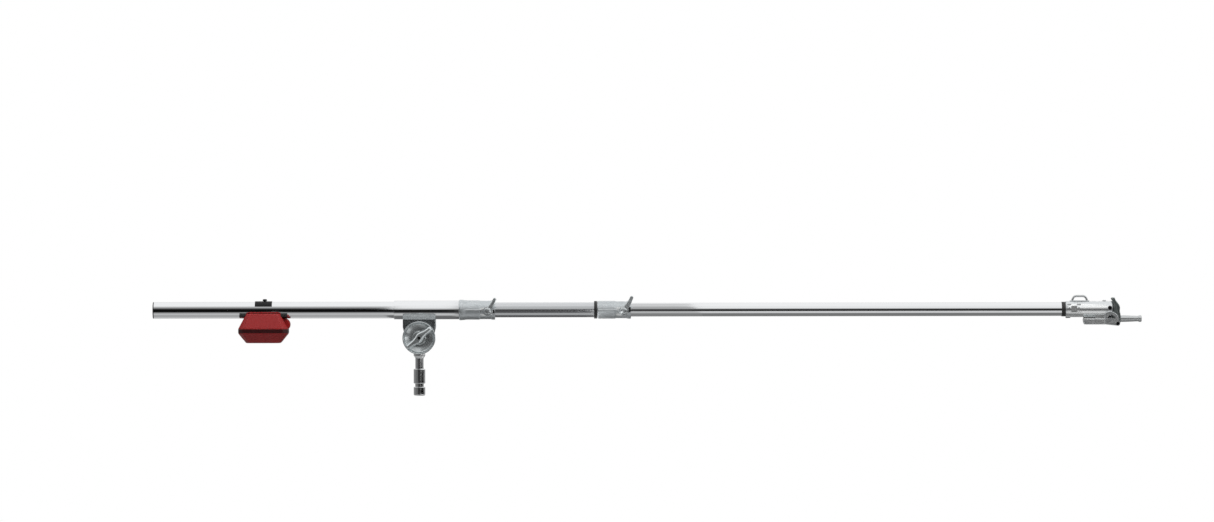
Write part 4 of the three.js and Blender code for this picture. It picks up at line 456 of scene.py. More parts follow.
tube_piece("rear_tube_surface", "boom", CHROME, REAR_RADIUS, 18.5, -645, 145.5, 0.4, "rear_tube")
tube_piece("middle_tube_surface", "middle", NICKEL, MIDDLE_RADIUS, 16.9, -235.5, 475.5, 0.3, "middle_tube")
tube_piece("front_tube_surface", "front", CHROME, FRONT_RADIUS, 15.3, 400, 1606, 0.3, "front_tube")
tube_piece("sleeve_surface", "boom", CHROME, 22.5, 20.3, -61.5, 96.5, 0.7, "pivot_sleeve")
tube_piece("middle_bumper_surface", "middle", RUBBER, 21.4, 18.4, 424.5, 431.8, 1.2, "middle_bumper")
tube_piece("front_bumper_surface", "front", RUBBER, 17.8, 16.8, 1560.3, 1570, 0.5, "front_bumper")

piece("rear_cap_surface", "boom", PLASTIC, [revolved(rounded([
    [0, -647.1], [9, -647.1, 2], [10, -647.5, 0.5], [20, -647.5, 1.6], [20, -645.3, 0.3], [18.2, -645.3],
    [18.2, -620], [16.2, -620], [16.2, -643], [0, -643]]), "x", (0, 0, AXIS))], replaces=["rear_end_cap"])

# ---------------------------------------------------------------- tilt knob

KNOB_BACK = -30.1  # Y of the knob's back face
GRIP_TURN = 180 - 40  # degrees in the X-Z plane before the knob is turned to the front
GRIP_REACH, GRIP_HALF = 33.3, 7  # from the middle to an end's centre, and half the bar's width


def knob_bar():
    """Grip bar's outline: straight edges with round ends, and a bell-shaped bulge of 5 mm beside the hub on each
    edge, one to each side of the middle, so that the bar reads as a shallow S."""
    along = np.linspace(GRIP_REACH, -GRIP_REACH, 48)
    upper = np.stack([along, GRIP_HALF + 5 * np.exp(-((along + 5.5) / 13) ** 2)], 1)
    end = arc(GRIP_HALF, 90, 270, 17)[1:-1] - [GRIP_REACH, 0]
    return np.concatenate([upper, end, -upper, -end])


def on_knob(shape):
    """Takes a shape drawn with +Y outwards to the knob's place, facing the front."""
    points = shape[0] * [-1, -1, 1]
    return points + [0, KNOB_BACK, PIVOT], shape[1]


knob_disc = revolved(rounded([
    [0, 0], [17, 0, 1], [17, 5, 1.5], [40, 5, 3], [40, 18, 1.5], [37, 18, 1.5], [35, 13, 3], [24, 9.5, 6],
    [16, 9.5, 1.5], [16, 14.5, 1.5], [0, 14.5]]), "y", sides=128)
knob_grip = turned_about_y(slab(knob_bar(), 5.5, 24, 6.7, 9.2, 10), GRIP_TURN)
piece("tilt_knob_surface", "tilt_knob", KNOB, [on_knob(knob_disc)], joins=[on_knob(knob_grip)],
      cuts=[on_knob(rod(12.3, -5, 12.3, "y", sides=64)), on_knob(rod(4, 5, 40, "y", sides=48))],
      bevel=0.5, replaces=["tilt_knob"])

# ---------------------------------------------------------------- clamp collars and levers

CLAMP_LENGTH = 37  # from the barrel's step to the collar's end
HUB_BACK, HUB_DROP = 17.5, 2.5  # the clamp screw's place before that end and below the tubes' axis
HUB_BORE = 5.3


def curved_patch(x0, x1, low, high, inside, outside):
    """Sector of a ring on the front side, between two heights: Y = -r cos t, Z = r sin t."""
    t = np.arcsin(np.linspace(low, high, 9) / outside)
    face = np.stack([-outside * np.cos(t), AXIS + outside * np.sin(t)], 1)
    back = np.stack([-inside * np.cos(t[::-1]), AXIS + inside * np.sin(t[::-1])], 1)
    return prism(np.concatenate([face, back]), x0, x1)


def lever_outline(length):
    """A lever's arm from the front: 55% of its length at 55 degrees, the rest at 66, narrowing to a round end."""
    slopes = np.radians([55, 66])
    first, second = np.stack([np.cos(slopes), np.sin(slopes)], 1)
    bend = first * length * 0.55
    tip = bend + second * (length * 0.45 - 4.2)
    line = rounded([[0, 0], [*bend, 8], tip], 8)
    half = 6 - 1.8 * np.linspace(0, 1, len(line))
    tangent = np.gradient(line, axis=0)
    tangent /= np.linalg.norm(tangent, axis=1, keepdims=True)
    normal = np.stack([-tangent[:, 1], tangent[:, 0]], 1)
    across = normal * half[:, None]
    turn = np.linspace(np.pi / 2, -np.pi / 2, 9)[1:-1, None]
    cap = tip + half[-1] * (np.cos(turn) * tangent[-1] + np.sin(turn) * normal[-1])
    return np.concatenate([line + across, cap, (line - across)[::-1]])


def collar_set(label, body, lever_body, start, length, outer, inner, lip, lever, shade_plug):
    """A collar over the tubes of radius `outer` and `inner`: barrel, clamp head and boss, a slim rib along the front,
    a black rubber plug in the end ring between the heights given for it, which is painted shade for the shadowed slot
    at the collar's end, and the lever."""
    step = start + length
    end = step + CLAMP_LENGTH
    barrel, clamp = outer + 3.4, outer + 2.4
    face = -clamp - 6
    centre, hub = (0, 0, AXIS), (end - HUB_BACK, 0, AXIS - HUB_DROP)
    shape = revolved(rounded([
        [0, start], [barrel + lip, start, 2.5], [barrel + lip, start + 8, 4], [barrel, start + 16, 4],
        [barrel, step - 0.8, 1.2], [clamp, step, 1], [clamp, end - 10.4, 3], [clamp + 1.2, end - 8, 2],
        [clamp + 1.2, end, 1.6], [0, end]]), "x", centre, sides=128)
    boss = revolved(rounded([[0, face], [12, face, 1.4], [12, -clamp / 2], [0, -clamp / 2]]), "y", hub, sides=72)
    cuts = [
        rod(outer + 0.3, start - 9, step - 1.2, "x", centre, 128),
        rod(inner + 0.3, start, end + 9, "x", centre, 128),
        rod(inner + 2.3, end - 9.3, end + 9, "x", centre, 128),
        rod(HUB_BORE, face - 9, 0, "y", hub, 48),
        curved_patch(end - 6.5, end - 0.4, shade_plug[0] - 0.2, shade_plug[1] + 0.2, clamp, clamp + 4),
    ]
    rib = prism(closed_rounded([[-barrel - 0.8, AXIS - 1.2, 0.7], [-barrel - 0.8, AXIS + 1.2, 1],
                                [-barrel + 2, AXIS + 3], [-barrel + 2, AXIS - 2]]), start + 3, step + 4)
    piece(f"{label}_collar_surface", body, CAST, [shape], joins=[boss], cuts=cuts, bevel=0.5,
          replaces=[f"{label}_collar"])
    piece(f"{label}_rib_surface", body, CAST, [rib], bevel=0.2)
    # painted shade: a black rubber patch in the end ring, where the slot at the collar's end shows dark in shadow
    piece(f"{label}_plug_surface", body, RUBBER,
          [curved_patch(end - 6.3, end - 0.6, *shade_plug, clamp + 0.05, clamp + 1.5)], bevel=0.3)
    back = face - 0.3
    front = back - 15
    lever_hub = revolved(rounded([[0, front - 2], [5, front - 1.8, 2], [8.5, front, 1.6], [8.5, back, 0.5],
                                  [0, back]]), "y", sides=64)
    arm = slab(lever_outline(lever), front + 1, front + 8, 2.0)
    piece(f"{label}_lever_surface", lever_body, PLATED, [moved(lever_hub, *hub)], joins=[moved(arm, *hub)],
          cuts=[moved(rod(HUB_BORE, back - 10, back + 9, "y", sides=48), *hub)], bevel=0.4,
          replaces=[f"{label}_clamp_lever"])


collar_set("rear", "boom", "rear_lever", start=96.8, length=50.2, outer=REAR_RADIUS, inner=MIDDLE_RADIUS, lip=1.4,
           lever=37, shade_plug=(-7.5, 0))
collar_set("front", "middle", "front_lever", start=432.1, length=44.9, outer=MIDDLE_RADIUS, inner=FRONT_RADIUS,
           lip=0, lever=42, shade_plug=(-5.8, 6.8))

# ---------------------------------------------------------------- head

BARREL, BARREL_LENGTH = 19.5, 112.7
# Places on the head, measured from its rear end and from the tubes' axis
HINGE_X, HINGE_Z = 125.7, -35
LATCH_X, LATCH_Z = 106.7, 3.2
LOCK_X = 77.7
TOP_SCREW_X = 93.7
LOOP_FEET = (16.5, 51.5)
SIDE_SCREWS, SIDE_SCREW_Z = (8, 31.4), 2.3
STUD_Z = -23.3
HINGE_RADIUS, HINGE_BORE = 5.5, 3.5


def at_head(shape):
    return moved(shape, HEAD, 0, AXIS)


def lug_outline():
    """Arched lug from the front: up the block's end, over in a bow, and down to the knuckle."""
    knuckle = arc(HINGE_RADIUS, 0, -90, 9) + [HINGE_X, HINGE_Z]
    return np.concatenate([[[94, -34.4]], bow([94, -14], [95, -6.5], [105.2, -5.5]),
                           bow([105.2, -5.5], [124.7, -6.5], [127.7, -23])[1:], knuckle, [[97, -37.4]]])


def window_outline():
    """Half moon under the lug's arch, 20.3 long."""
    return np.concatenate([bow([99.7, -21.4], [109.85, -5.4], [120, -21.4], 16),
                           bow([120, -22.6], [109.85, -19.5], [99.7, -22.6], 16)])


def side_pocket(place):
    """Ring sector between radius 17.3 and 26, for a shallow pocket whose floor follows the barrel."""
    limits = (139.5, 203.5, 28)
    ring = np.concatenate([arc(17.3, *limits), arc(26, *limits)[::-1]])
    return prism(ring, place - 4.7, place + 4.7)


# The block under the barrel, two webs, the two lugs, the saddle on top, a foot and the lock screw's boss
head_joins = [
    slab(closed_rounded([[42.7, -23, 1], [43, -30.2, 2], [45.7, -37.4, 2], [119.3, -37.4, 1.5], [119.3, -23, 1.5]]),
         -19, 19, 1.5),
    block((71.6, -14.4, -30), (97.2, 17, -2)),
    block((43, -6, -30), (72, 6, -17)),
    slab(lug_outline(), -20.5, -15, 1.2),
    slab(lug_outline(), 15, 20.5, 1.2),
    slab(closed_rounded([[10.5, 17, 0], [10.5, 21.2, 1.5], [57.5, 21.2, 1.5], [57.5, 17, 0]]), -6, 6, 1),
    block((0.2, -6, -21.6), (11, 6, -17)),
    revolved(rounded([[0, 9], [9.5, 9], [9.5, 27, 1.2], [0, 27]]), "y", (LOCK_X, 0, 0), sides=64),
]
# The tube's socket, the receiver with its wider mouth, the flat, the window, and the holes and pockets
head_cuts = [
    rod(16.8, -9, 36, sides=128),
    revolved([[0, 45.7], [14.35, 45.7], [14.35, 111.7], [15.35, 112.7], [15.35, 140], [0, 140]], sides=128),
    block((2, -26, -20), (37, -17.9, 20)),
    slab(window_outline(), -21, -14.7),
    rod(HINGE_BORE, -40, 40, "y", (HINGE_X, 0, HINGE_Z), 32),
    rod(5.3, 0, 40, "y", (LOCK_X, 0, 0), 32),
    *[rod(3.05, 18.3, 40, "z", (x, 0, 0), 32) for x in LOOP_FEET],
    *[side_pocket(x) for x in SIDE_SCREWS],
    rod(4.8, 18.9, 40, "z", (TOP_SCREW_X, 0, 0), 32),
    rod(5.05, -40, -17.5, "y", (LATCH_X, 0, LATCH_Z), 32),
]
piece("head_surface", "front", SATIN,
      [at_head(revolved(rounded([[0, 0], [BARREL, 0, 1.4], [BARREL, BARREL_LENGTH, 1.4], [0, BARREL_LENGTH]]),
                        sides=128))],
      joins=[at_head(s) for s in head_joins], cuts=[at_head(s) for s in head_cuts], bevel=0.5,
      replaces=["head_casting"])

left_foot, right_foot = LOOP_FEET
loop = np.concatenate([[[left_foot, 18.7]], bow([left_foot, 22], [18.5, 31.7], [27, 31.7], 14),
                       bow([41, 31.7], [49.5, 31.7], [right_foot, 22], 14), [[right_foot, 18.7]]])
loop_path = np.stack([loop[:, 0], np.zeros(len(loop)), loop[:, 1]], 1)
piece("safety_loop_surface", "front", ZINC, [at_head(swept(loop_path, circle(2.7)))], replaces=["safety_loop"])


def cross_screw(radius, height, shank, seat, tip, axis, centre):
    """Pan-head screw: domed head on `seat`, shank back to `tip`."""
    rise = np.sign(seat - tip) * height
    return revolved(rounded([[0, tip], [shank, tip], [shank, seat], [radius, seat], [radius, seat + rise * 0.5, 0.8],
                             [radius * 0.6, seat + rise, 1.2], [0, seat + rise]]), axis, centre, sides=48)


def cross_recess(axis, centre, start, deep, long, wide):
    """Two crossed blocks that cut a screw's driving recess."""
    end = start + deep
    corners = {"y": lambda a, b: ((-a, start, -b), (a, end, b)), "z": lambda a, b: ((-a, -b, start), (a, b, end))}
    return [moved(block(*corners[axis](a, b)), *centre) for a, b in ((long, wide), (wide, long))]


for name, x in zip(("head_screw_left", "head_screw_right"), SIDE_SCREWS):
    side_centre = (HEAD + x, 0, AXIS + SIDE_SCREW_Z)
    piece(f"{name}_surface", "front", ZINC, [cross_screw(3.2, 2, 1.6, -17.6, -16.8, "y", side_centre)],
          cuts=cross_recess("y", side_centre, -22, 3.3, 1.9, 0.45), replaces=[name])
top_centre = (HEAD + TOP_SCREW_X, 0, AXIS)
piece("top_screw_surface", "front", ZINC, [cross_screw(4.5, 3, 2, 19.2, 17, "z", top_centre)],
      cuts=cross_recess("z", top_centre, 20.8, 4, 2.6, 0.6), replaces=["top_screw"])
latch_centre = (HEAD + LATCH_X, 0, AXIS + LATCH_Z)
piece("latch_screw_surface", "front", BLACKENED, [cross_screw(4.75, 3.6, 2.2, -17.8, -15, "y", latch_centre)],
      cuts=cross_recess("y", latch_centre, -24, 4, 2.8, 0.6), replaces=["latch_screw"])
piece("hinge_pin_surface", "front", BLACKENED, [revolved(rounded([
    [0, -23.2], [3.5, -23.2, 1], [4.5, -22, 0.6], [4.5, -20.8], [3.2, -20.8], [3.2, 21.5, 0.6], [0, 21.5]]), "y",
    (HEAD + HINGE_X, 0, AXIS + HINGE_Z), sides=48)], replaces=["hinge_pin"])

# ---------------------------------------------------------------- pin arm and stud

CLAW_X = 113.3  # where the claw's edges are measured from, 0.6 mm in front of the receiver's mouth
CLAW_BACK_SHARES = [
    [0.36, -1.3], [0.33, -1.12], [0.03, -1.02], [0.02, -0.5], [0.02, 0], [0.03, 0.46], [0.03, 0.71], [0.03, 0.96],
    [-0.03, 1.09], [-0.11, 1.22], [-0.14, 1.34], [-0.08, 1.42], [0.04, 1.46]]
CLAW_FRONT_SHARES = [
    [0.18, 1.46], [0.28, 1.42], [0.32, 1.33], [0.34, 1.2], [0.51, 0.96], [0.72, 0.71], [0.87, 0.46], [0.94, 0.2],
    [0.92, -0.04], [0.9, -0.29], [0.97, -0.5], [1, -0.8], [1, -1.3]]


def claw_outline():
    """The claw from the front: its two edges as shares of the barrel's radius, corners drawn as curves."""
    points = np.array(CLAW_BACK_SHARES + CLAW_FRONT_SHARES) * BARREL + [CLAW_X, 0]
    return closed_rounded([[x, z, 2.2] for x, z in points], 3)


stem_outline = closed_rounded([[124, -17.8, 1], [133, -17.8, 1.5], [133, -31.3, 2], [131.2, -35, 0],
                               [120.2, -35, 0]])
arm_joins = [
    slab(stem_outline, -11.4, 11.4, 1),
    revolved(rounded([[0, -13], [HINGE_RADIUS, -13, 0.8], [HINGE_RADIUS, 13, 0.8], [0, 13]]), "y",
             (HINGE_X, 0, HINGE_Z), sides=48),
    revolved(rounded([[0, 124], [10, 124], [10, 133, 1], [0, 133]]), "x", (0, 0, STUD_Z), sides=64),
]
# The hinge pin's hole, the stud's seat and room for the barrel
arm_cuts = [
    rod(HINGE_BORE, -30, 30, "y", (HINGE_X, 0, HINGE_Z), 32),
    rod(5.3, 124.5, 150, "x", (0, 0, STUD_Z), 32),
    rod(BARREL, 100, CLAW_X),
]
piece("pin_arm_surface", "pin_arm", DARK_CAST, [at_head(slab(claw_outline(), -13, 13, 2.2))],
      joins=[at_head(s) for s in arm_joins], cuts=[at_head(s) for s in arm_cuts], bevel=0.5, replaces=["pin_arm"])

piece("baby_pin_surface", "pin_arm", ZINC, [revolved(rounded([
    [0, 124.8], [5, 124.8], [5, 133.3], [8, 133.3, 0.4], [8, 142, 2], [6.8, 174, 1], [6.8, 176.5, 0.3], [8, 178, 0.6],
    [8, 183.5, 0.8], [7, 184.5, 0.4], [0, 184.5]]), "x", (HEAD, 0, AXIS + STUD_Z), sides=72)],
    replaces=["baby_pin"])

TEE_Y = 39.5  # depth of the tee bar behind the tubes' axis
tee_centre = (HEAD + LOCK_X, TEE_Y, AXIS)
piece("receiver_screw_surface", "receiver_screw", TURNED,
      [revolved(rounded([[0, 14.65], [4.4, 14.65], [5, 15.3], [5, 33], [7.5, 33, 0.6], [7.5, 46, 0.8], [0, 46]]), "y",
                (HEAD + LOCK_X, 0, AXIS), sides=48)],
      cuts=[rod(3.3, -30, 30, "x", tee_centre, 32)], replaces=["receiver_screw"])
ball = arc(4.3, 140, 0, 10)[:, ::-1] + [0, 25]
piece("tee_bar_surface", "receiver_screw", TURNED,
      [revolved(np.concatenate([ball[::-1] * [1, -1], ball]), "x", tee_centre, sides=48)],
      replaces=["receiver_tee_bar"])

# ---------------------------------------------------------------- counterweight


def cut_corner(length, depth, corner, z):
    """Rectangle with cut corners as eight points at one height."""
    x, y = length / 2, depth / 2
    return [[x, -y + corner, z], [x, y - corner, z], [x - corner, y, z], [-x + corner, y, z], [-x, y - corner, z],
            [-x, -y + corner, z], [-x + corner, -y, z], [x - corner, -y, z]]


def weight_body():
    """Loft through four cut-corner rectangles, widest at the waist, edges rounded by a bevel of 2.6 mm."""
    rings = np.array([cut_corner(83, 60, 7.7, -79.7), cut_corner(120.6, 90, 11, -56), cut_corner(120.6, 90, 11, -45),
                      cut_corner(82, 62, 7.7, -8.3)], float)
    made = raw_object("weight_block", [grid_mesh(rings, caps=True)])
    bevelled(made, 2.6, 4, 12)
    points = np.empty(len(made.data.vertices) * 3)
    made.data.vertices.foreach_get("co", points)
    faces = [list(p.vertices) for p in made.data.polygons]
    bpy.data.objects.remove(made)
    return points.reshape(-1, 3) / MM, faces


def at_weight(shape):
    return moved(shape, WEIGHT, 0, AXIS)


# The casting's upper rear face: its top edge in Y and Z, and its slope in degrees, 14 mm out over 36.7 mm down
FACE_Y, FACE_Z = 31, -8.3
SLOPE = np.degrees(np.arctan2(14, 36.7))


def on_rear_face(shape, side):
    """Takes a shape whose +Y points outwards to a place on the casting's upper rear face."""
    return moved(turned_about_x(moved(shape, side * 12, 0, -14), SLOPE), 0, FACE_Y, FACE_Z)


ear = revolved(rounded([[0, -15], [15.5, -15, 4], [15.5, 15, 4], [0, 15]]), "y", (49.5, 0, -34.5), sides=72)
# Room for the tube, and the seat of the two rails
weight_cuts = [rod(22, -90, 90, sides=128), block((-90, -25, -16.8), (90, 25, -11.2))]
piece("weight_surface", "counterweight", RED, [at_weight(weight_body())], joins=[at_weight(ear)],
      cuts=[at_weight(s) for s in weight_cuts], bevel=0.7, smooth=40, replaces=["weight_casting"])

RAIL_BORE = 20.3
RAIL_ENDS = ((-58, 0.96), (-57.5, 1), (57.5, 1), (58, 0.96))  # places along X and the section's scale there


def rail(side):
    """Rail section in Y-Z: flat outside and below, hollowed by the tube's circle, swept along X."""
    t = np.arcsin(np.linspace(11.5, 16.5, 9) / RAIL_BORE)
    seat = np.stack([RAIL_BORE * np.cos(t), -RAIL_BORE * np.sin(t)], 1)
    section = np.concatenate([seat, [[24.2, -16.5], [24.7, -16.0], [24.7, -12.0], [24.2, -11.5]]])
    section[:, 0] *= side
    middle = section.mean(0)
    grid = np.stack([np.column_stack([np.full(len(section), x), middle + (section - middle) * k])
                     for x, k in RAIL_ENDS])
    return grid_mesh(grid, caps=True)


piece("cradle_rail_front_surface", "counterweight", RUBBER, [at_weight(rail(-1))], replaces=["cradle_rail_front"])
piece("cradle_rail_rear_surface", "counterweight", RUBBER, [at_weight(rail(1))], replaces=["cradle_rail_rear"])

STRAP_RADIUS = 21.1  # of the strap's centre line round the tube
STRAP_LIFT = 1.1  # of that line over the casting's face
SCREW_X = 3  # the clamp screw's place from the weight's middle


def hook_path():
    """Strap's centre line in Y-Z: round the tube from front to back, down, out over the casting, down its face."""
    over = arc(STRAP_RADIUS, 152, 0, 40)
    a = np.radians(SLOPE)
    face = np.array([FACE_Y + STRAP_LIFT * np.cos(a), FACE_Z + STRAP_LIFT * np.sin(a)])
    leg = face + 26 * np.array([np.sin(a), -np.cos(a)])
    out = rounded([over[-1], [STRAP_RADIUS, -7.2, 2.6], [31.9, -7.2, 1.6], leg], 8)
    return np.concatenate([over[:-1], out])


line = hook_path()
strap = swept(np.stack([np.zeros(len(line)), line[:, 0], line[:, 1]], 1),
              closed_rounded([[-20.7, -0.8, 0.6], [20.7, -0.8, 0.6], [20.7, 0.8, 0.6], [-20.7, 0.8, 0.6]], 3),
              (1, 0, 0))
piece("hook_surface", "counterweight", BLACK_PAINT, [at_weight(strap)],
      cuts=[at_weight(rod(2.8, 15, 26, "z", (SCREW_X, 0, 0), 40))], replaces=["weight_hook"])
for name, side in (("hook_screw_left", -1), ("hook_screw_right", 1)):
    piece(f"{name}_surface", "counterweight", BLACKENED,
          [at_weight(on_rear_face(cross_screw(4, 2.8, 2, 2.2, -9, "y", (0, 0, 0)), side))],
          cuts=[at_weight(on_rear_face(s, side)) for s in cross_recess("y", (0, 0, 0), 3.4, 4, 2.4, 0.5)],
          replaces=[name])
screw_centre = (WEIGHT + SCREW_X, 0, AXIS)
piece("weight_screw_surface", "weight_screw", BLACK_PAINT, [revolved(rounded([
    [0, 20.3], [2.5, 20.3], [2.5, 22.2], [5.2, 22.2, 0.3], [5.2, 25.6, 0.8], [3.9, 27, 0.6], [0, 27]]), "z",
    screw_centre, sides=48)], cuts=cross_recess("z", screw_centre, 25.2, 4, 2.6, 0.6), replaces=["weight_screw"])

# ---------------------------------------------------------------- solids that no piece dresses

slot_of_node = {s["node"]: s["material_slot"] for s in frame["record"]["subparts"]}
for node, made in frame["nodes"].items():
    made.data.materials.clear()
    made.data.materials.append(MATERIAL_OF_SLOT[slot_of_node[node]])

# ---------------------------------------------------------------- studio

FRONT_Y, BACK_Y = -1.3, 1.6  # of the fence and the back wall
UNDER_Z, WALL_Z, SKY_Z = -0.42, 0.8, 2.4  # of the under cards, the back and end walls' tops, and the fence's top
LEFT_X, RIGHT_X = -3, 4  # ends of the long cards
SKIRT_TOP, SKIRT_FOOT = -0.425, -1.9
FLOOR_Z = -1.95
FLOOR_SHARE, FLOOR_GLOW = 0.8, 1.17  # how much of the floor as seen is its glow, and how strong it is
AMBIENT = 0.3  # the white world's strength as light; it is seen at 1


def blank_tree(owner):
    owner.use_nodes = True
    owner.node_tree.nodes.clear()
    return owner.node_tree


def graded(name, axis, stops):
    """A glowing surface whose level runs along one axis of its object: straight between [place, level] stops."""
    material = bpy.data.materials.new(name)
    tree = blank_tree(material)
    place = add(tree, "ShaderNodeTexCoord").outputs["Object"]
    along = add(tree, "ShaderNodeSeparateXYZ", {"Vector": place}).outputs[axis]
    low, high = stops[0][0], stops[-1][0]
    share = add(tree, "ShaderNodeMapRange", {"Value": along, "From Min": low, "From Max": high})
    ramp = add(tree, "ShaderNodeValToRGB", {"Fac": share.outputs["Result"]})
    points = ramp.color_ramp.elements
    while len(points) < len(stops):
        points.new(0.5)
    for point, (at, level) in zip(points, stops):
        point.position = (at - low) / (high - low)
        point.color = (level, level, level, 1)
    glow = add(tree, "ShaderNodeEmission", {"Color": ramp.outputs["Color"]})
    add(tree, "ShaderNodeOutputMaterial", {"Surface": glow.outputs["Emission"]})
    return material


def card(name, corners, material, lit=False):
    """A flat studio surface. One that isn't `lit` only shapes reflections: nothing else sees it, and it casts no
    shadow."""
    mesh = bpy.data.meshes.new(name)
    mesh.from_pydata(corners, [], [[0, 1, 2, 3]])
    made = bpy.data.objects.new(name, mesh)
    mesh.materials.append(material)
    bpy.context.scene.collection.objects.link(made)
    made.visible_camera = made.visible_diffuse = made.visible_shadow = lit


def glow_card(name, corners, axis, stops):
    card(name, corners, graded(f"{name}_glow", axis, stops))


def upright(start, end, low, high):
    """Corners of a wall over the line between two (x, y) points, from one height to another."""
    return [(*start, low), (*end, low), (*end, high), (*start, high)]


# Each zone along the boom sees its own flags: x limits at the fence's foot and top, the fence's levels up its height
# and the under card's levels from front to back
ZONES = {
    "rear_tube": ((-3, -3), (-0.104, -0.135),
                  [(-0.42, 0.06), (-0.32, 0.004), (0.5, 0.004), (0.84, 0.17), (1.3, 0.45), (2.13, 0.8), (2.4, 1)],
                  [(-1.3, 0.06), (-0.63, 0.45), (-0.4, 0.62), (-0.25, 0.42), (0.2, 0.42), (0.38, 0.6), (1.6, 0.6)]),
    "sleeve": ((-0.104, -0.135), (0.067, 0.045),
               [(-0.42, 0.01), (0.25, 0.01), (0.34, 0.3), (0.64, 0.72), (0.85, 0.95), (1, 0.95), (2.4, 1)],
               [(-1.3, 0.1), (-0.85, 0.1), (-0.65, 0.6), (-0.3, 0.6), (-0.15, 0.25), (-0.05, 0.15), (1.6, 0.15)]),
    "middle_tube": ((0.067, 0.045), (0.477, 0.479),
                    [(-0.42, 0.08), (0.28, 0.08), (0.62, 0.56), (0.9, 0.62), (1.3, 0.6), (2.4, 0.7)],
                    [(-1.3, 0.12), (-0.6, 0.12), (-0.53, 0.45), (-0.05, 0.45), (0, 0.12), (0.7, 0.12), (1.6, 0.12)]),
    "front_tube_near": ((0.477, 0.479), (0.69, 0.69),
                        [(-0.42, 0.05), (0.33, 0.05), (0.52, 0.36), (0.8, 0.43), (1.2, 0.45), (2.4, 0.56)],
                        [(-1.3, 0.5), (-0.36, 0.5), (-0.3, 0.24), (0.6, 0.24), (0.7, 0.3), (1.6, 0.3)]),
    "front_tube": ((0.69, 0.69), (4, 4),
                   [(-0.42, 0.02), (0.33, 0.02), (0.556, 0.52), (0.9, 0.95), (2.4, 0.9)],
                   [(-1.3, 0.68), (-0.36, 0.68), (-0.3, 0.2), (0.6, 0.2), (0.7, 0.3), (1.6, 0.3)]),
}
UNDER_SHIFT = 0.012  # how much further along the boom an under card lies at the back
for zone, (left, right, fence, under) in ZONES.items():
    glow_card(f"{zone}_fence", [(left[0], FRONT_Y, UNDER_Z), (right[0], FRONT_Y, UNDER_Z), (right[1], FRONT_Y, SKY_Z),
                                (left[1], FRONT_Y, SKY_Z)], "Z", fence)
    glow_card(f"{zone}_under", [(left[0], FRONT_Y, UNDER_Z), (right[0], FRONT_Y, UNDER_Z),
                                (right[0] + UNDER_SHIFT, BACK_Y, UNDER_Z),
                                (left[0] + UNDER_SHIFT, BACK_Y, UNDER_Z)], "Y", under)
# The satin middle section and the start of the front one have a dimmer sky
for zone, level in (("middle_tube", 0.84), ("front_tube_near", 0.7)):
    (_, x0), (_, x1) = ZONES[zone][:2]
    glow_card(f"{zone}_ceiling", [(x0, FRONT_Y, SKY_Z), (x1, FRONT_Y, SKY_Z), (x1, BACK_Y, SKY_Z),
                                  (x0, BACK_Y, SKY_Z)], "Y", [(FRONT_Y, level), (BACK_Y, level)])

# Walls for the spigot and the knob. A wall seen edge-on streaks what is glossy at its X, so they stand behind the
# weight and at the middle section's black ring
RING_X = 0.428
glow_card("spigot_left", upright((-0.413, -1.2), (-0.348, 0.267), -0.2, 0.1), "Y",
          [(-1.2, 0.07), (-0.49, 0.155), (-0.23, 0.165), (-0.04, 0.22), (0.153, 0.33), (0.267, 0.33)])
glow_card("spigot_right", upright((RING_X, -1.05), (RING_X, 0.38), -0.09, 0.1), "Y",
          [(-1.05, 0.004), (0, 0.004), (0.0285, 0.2), (0.342, 0.5), (0.38, 0.5)])
glow_card("knob_right", upright((RING_X, -1.05), (RING_X, 0.38), 0.101, 0.19), "Y", [(-1.05, 1.6), (0.38, 1.6)])
glow_card("knob_low", upright((RING_X, -1.22), (RING_X, 0.38), -0.41, -0.091), "Y", [(-1.22, 0.75), (0.38, 0.75)])

# Below the under cards, for the poses in which the boom hangs down there
for side, y in (("front", FRONT_Y), ("back", BACK_Y)):
    glow_card(f"{side}_skirt", upright((LEFT_X, y), (RIGHT_X, y), SKIRT_FOOT, SKIRT_TOP), "Z",
              [(SKIRT_FOOT, 0.06), (SKIRT_TOP, 0.06)])
glow_card("back", upright((LEFT_X, BACK_Y), (RIGHT_X, BACK_Y), UNDER_Z, WALL_Z), "Z",
          [(UNDER_Z, 0.25), (WALL_Z, 0.3)])
for side, x in (("rear", -2.4), ("front", 3.4)):
    glow_card(f"{side}_end", upright((x, FRONT_Y), (x, BACK_Y), UNDER_Z, WALL_Z), "Z",
              [(UNDER_Z, 0.2), (WALL_Z, 0.2)])


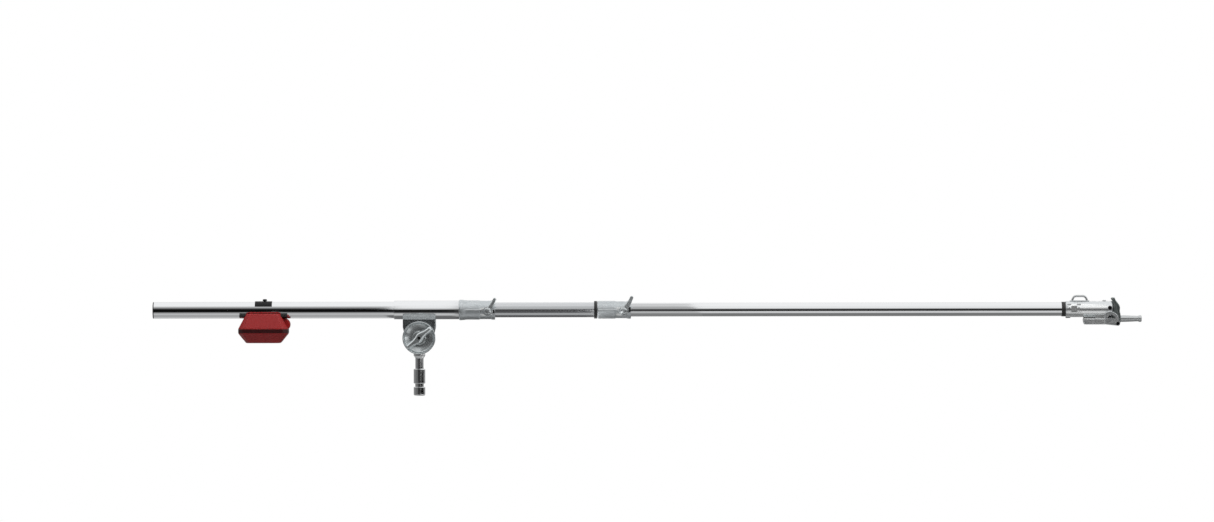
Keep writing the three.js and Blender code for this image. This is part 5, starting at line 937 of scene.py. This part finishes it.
def seen_ray(tree):
    """1 for rays from the camera, off gloss and through glass, and 0 for the light that falls on matt surfaces."""
    ray = add(tree, "ShaderNodeLightPath").outputs
    seen = ray["Is Camera Ray"]
    for other in ("Is Glossy Ray", "Is Transmission Ray"):
        seen = add(tree, "ShaderNodeMath", {0: seen, 1: ray[other]}, operation="MAXIMUM").outputs[0]
    return seen


floor_material = bpy.data.materials.new("pale_floor")
tree = blank_tree(floor_material)
share = add(tree, "ShaderNodeMath", {0: seen_ray(tree), 1: FLOOR_SHARE}, operation="MULTIPLY")
matt = add(tree, "ShaderNodeBsdfDiffuse", {"Color": linear("#f4f4f4")})
white = add(tree, "ShaderNodeEmission", {"Color": (1, 1, 1, 1), "Strength": FLOOR_GLOW})
mixed = add(tree, "ShaderNodeMixShader", {0: share.outputs[0], 1: matt.outputs[0], 2: white.outputs[0]})
add(tree, "ShaderNodeOutputMaterial", {"Surface": mixed.outputs[0]})
card("floor", [(-12, -12, FLOOR_Z), (13, -12, FLOOR_Z), (13, 12, FLOOR_Z), (-12, 12, FLOOR_Z)], floor_material,
     lit=True)

world = bpy.data.worlds.new("studio")
bpy.context.scene.world = world
tree = blank_tree(world)
level = add(tree, "ShaderNodeMapRange", {"Value": seen_ray(tree), "To Min": AMBIENT, "To Max": 1.0})
shine = add(tree, "ShaderNodeBackground", {"Color": (1, 1, 1, 1), "Strength": level.outputs["Result"]})
add(tree, "ShaderNodeOutputWorld", {"Surface": shine.outputs[0]})

# It lights matt surfaces, and no gloss mirrors it
lamp = bpy.data.lights.new("overhead_softbox", "AREA")
lamp.shape, lamp.size, lamp.size_y, lamp.energy = "RECTANGLE", 5.0, 2.2, 138
box = bpy.data.objects.new("overhead_softbox", lamp)
box.location = (0.5, -1.6, 2.6)
box.rotation_euler = (np.radians(35), 0, 0)
box.visible_glossy = False
bpy.context.scene.collection.objects.link(box)

# ---------------------------------------------------------------- camera

lens = bpy.data.cameras.new("camera")
# A long lens far off, level with the arm, rolled a little as the photograph is
lens.lens, lens.sensor_width, lens.clip_end = 200, 36, 100
camera = bpy.data.objects.new("camera", lens)
camera.location = (0.4561, -16.39, 0.3265)
camera.rotation_euler = (np.pi / 2, np.radians(0.084), 0)
bpy.context.scene.collection.objects.link(camera)
bpy.context.scene.camera = camera
bpy.context.scene.view_settings.view_transform = "Standard"
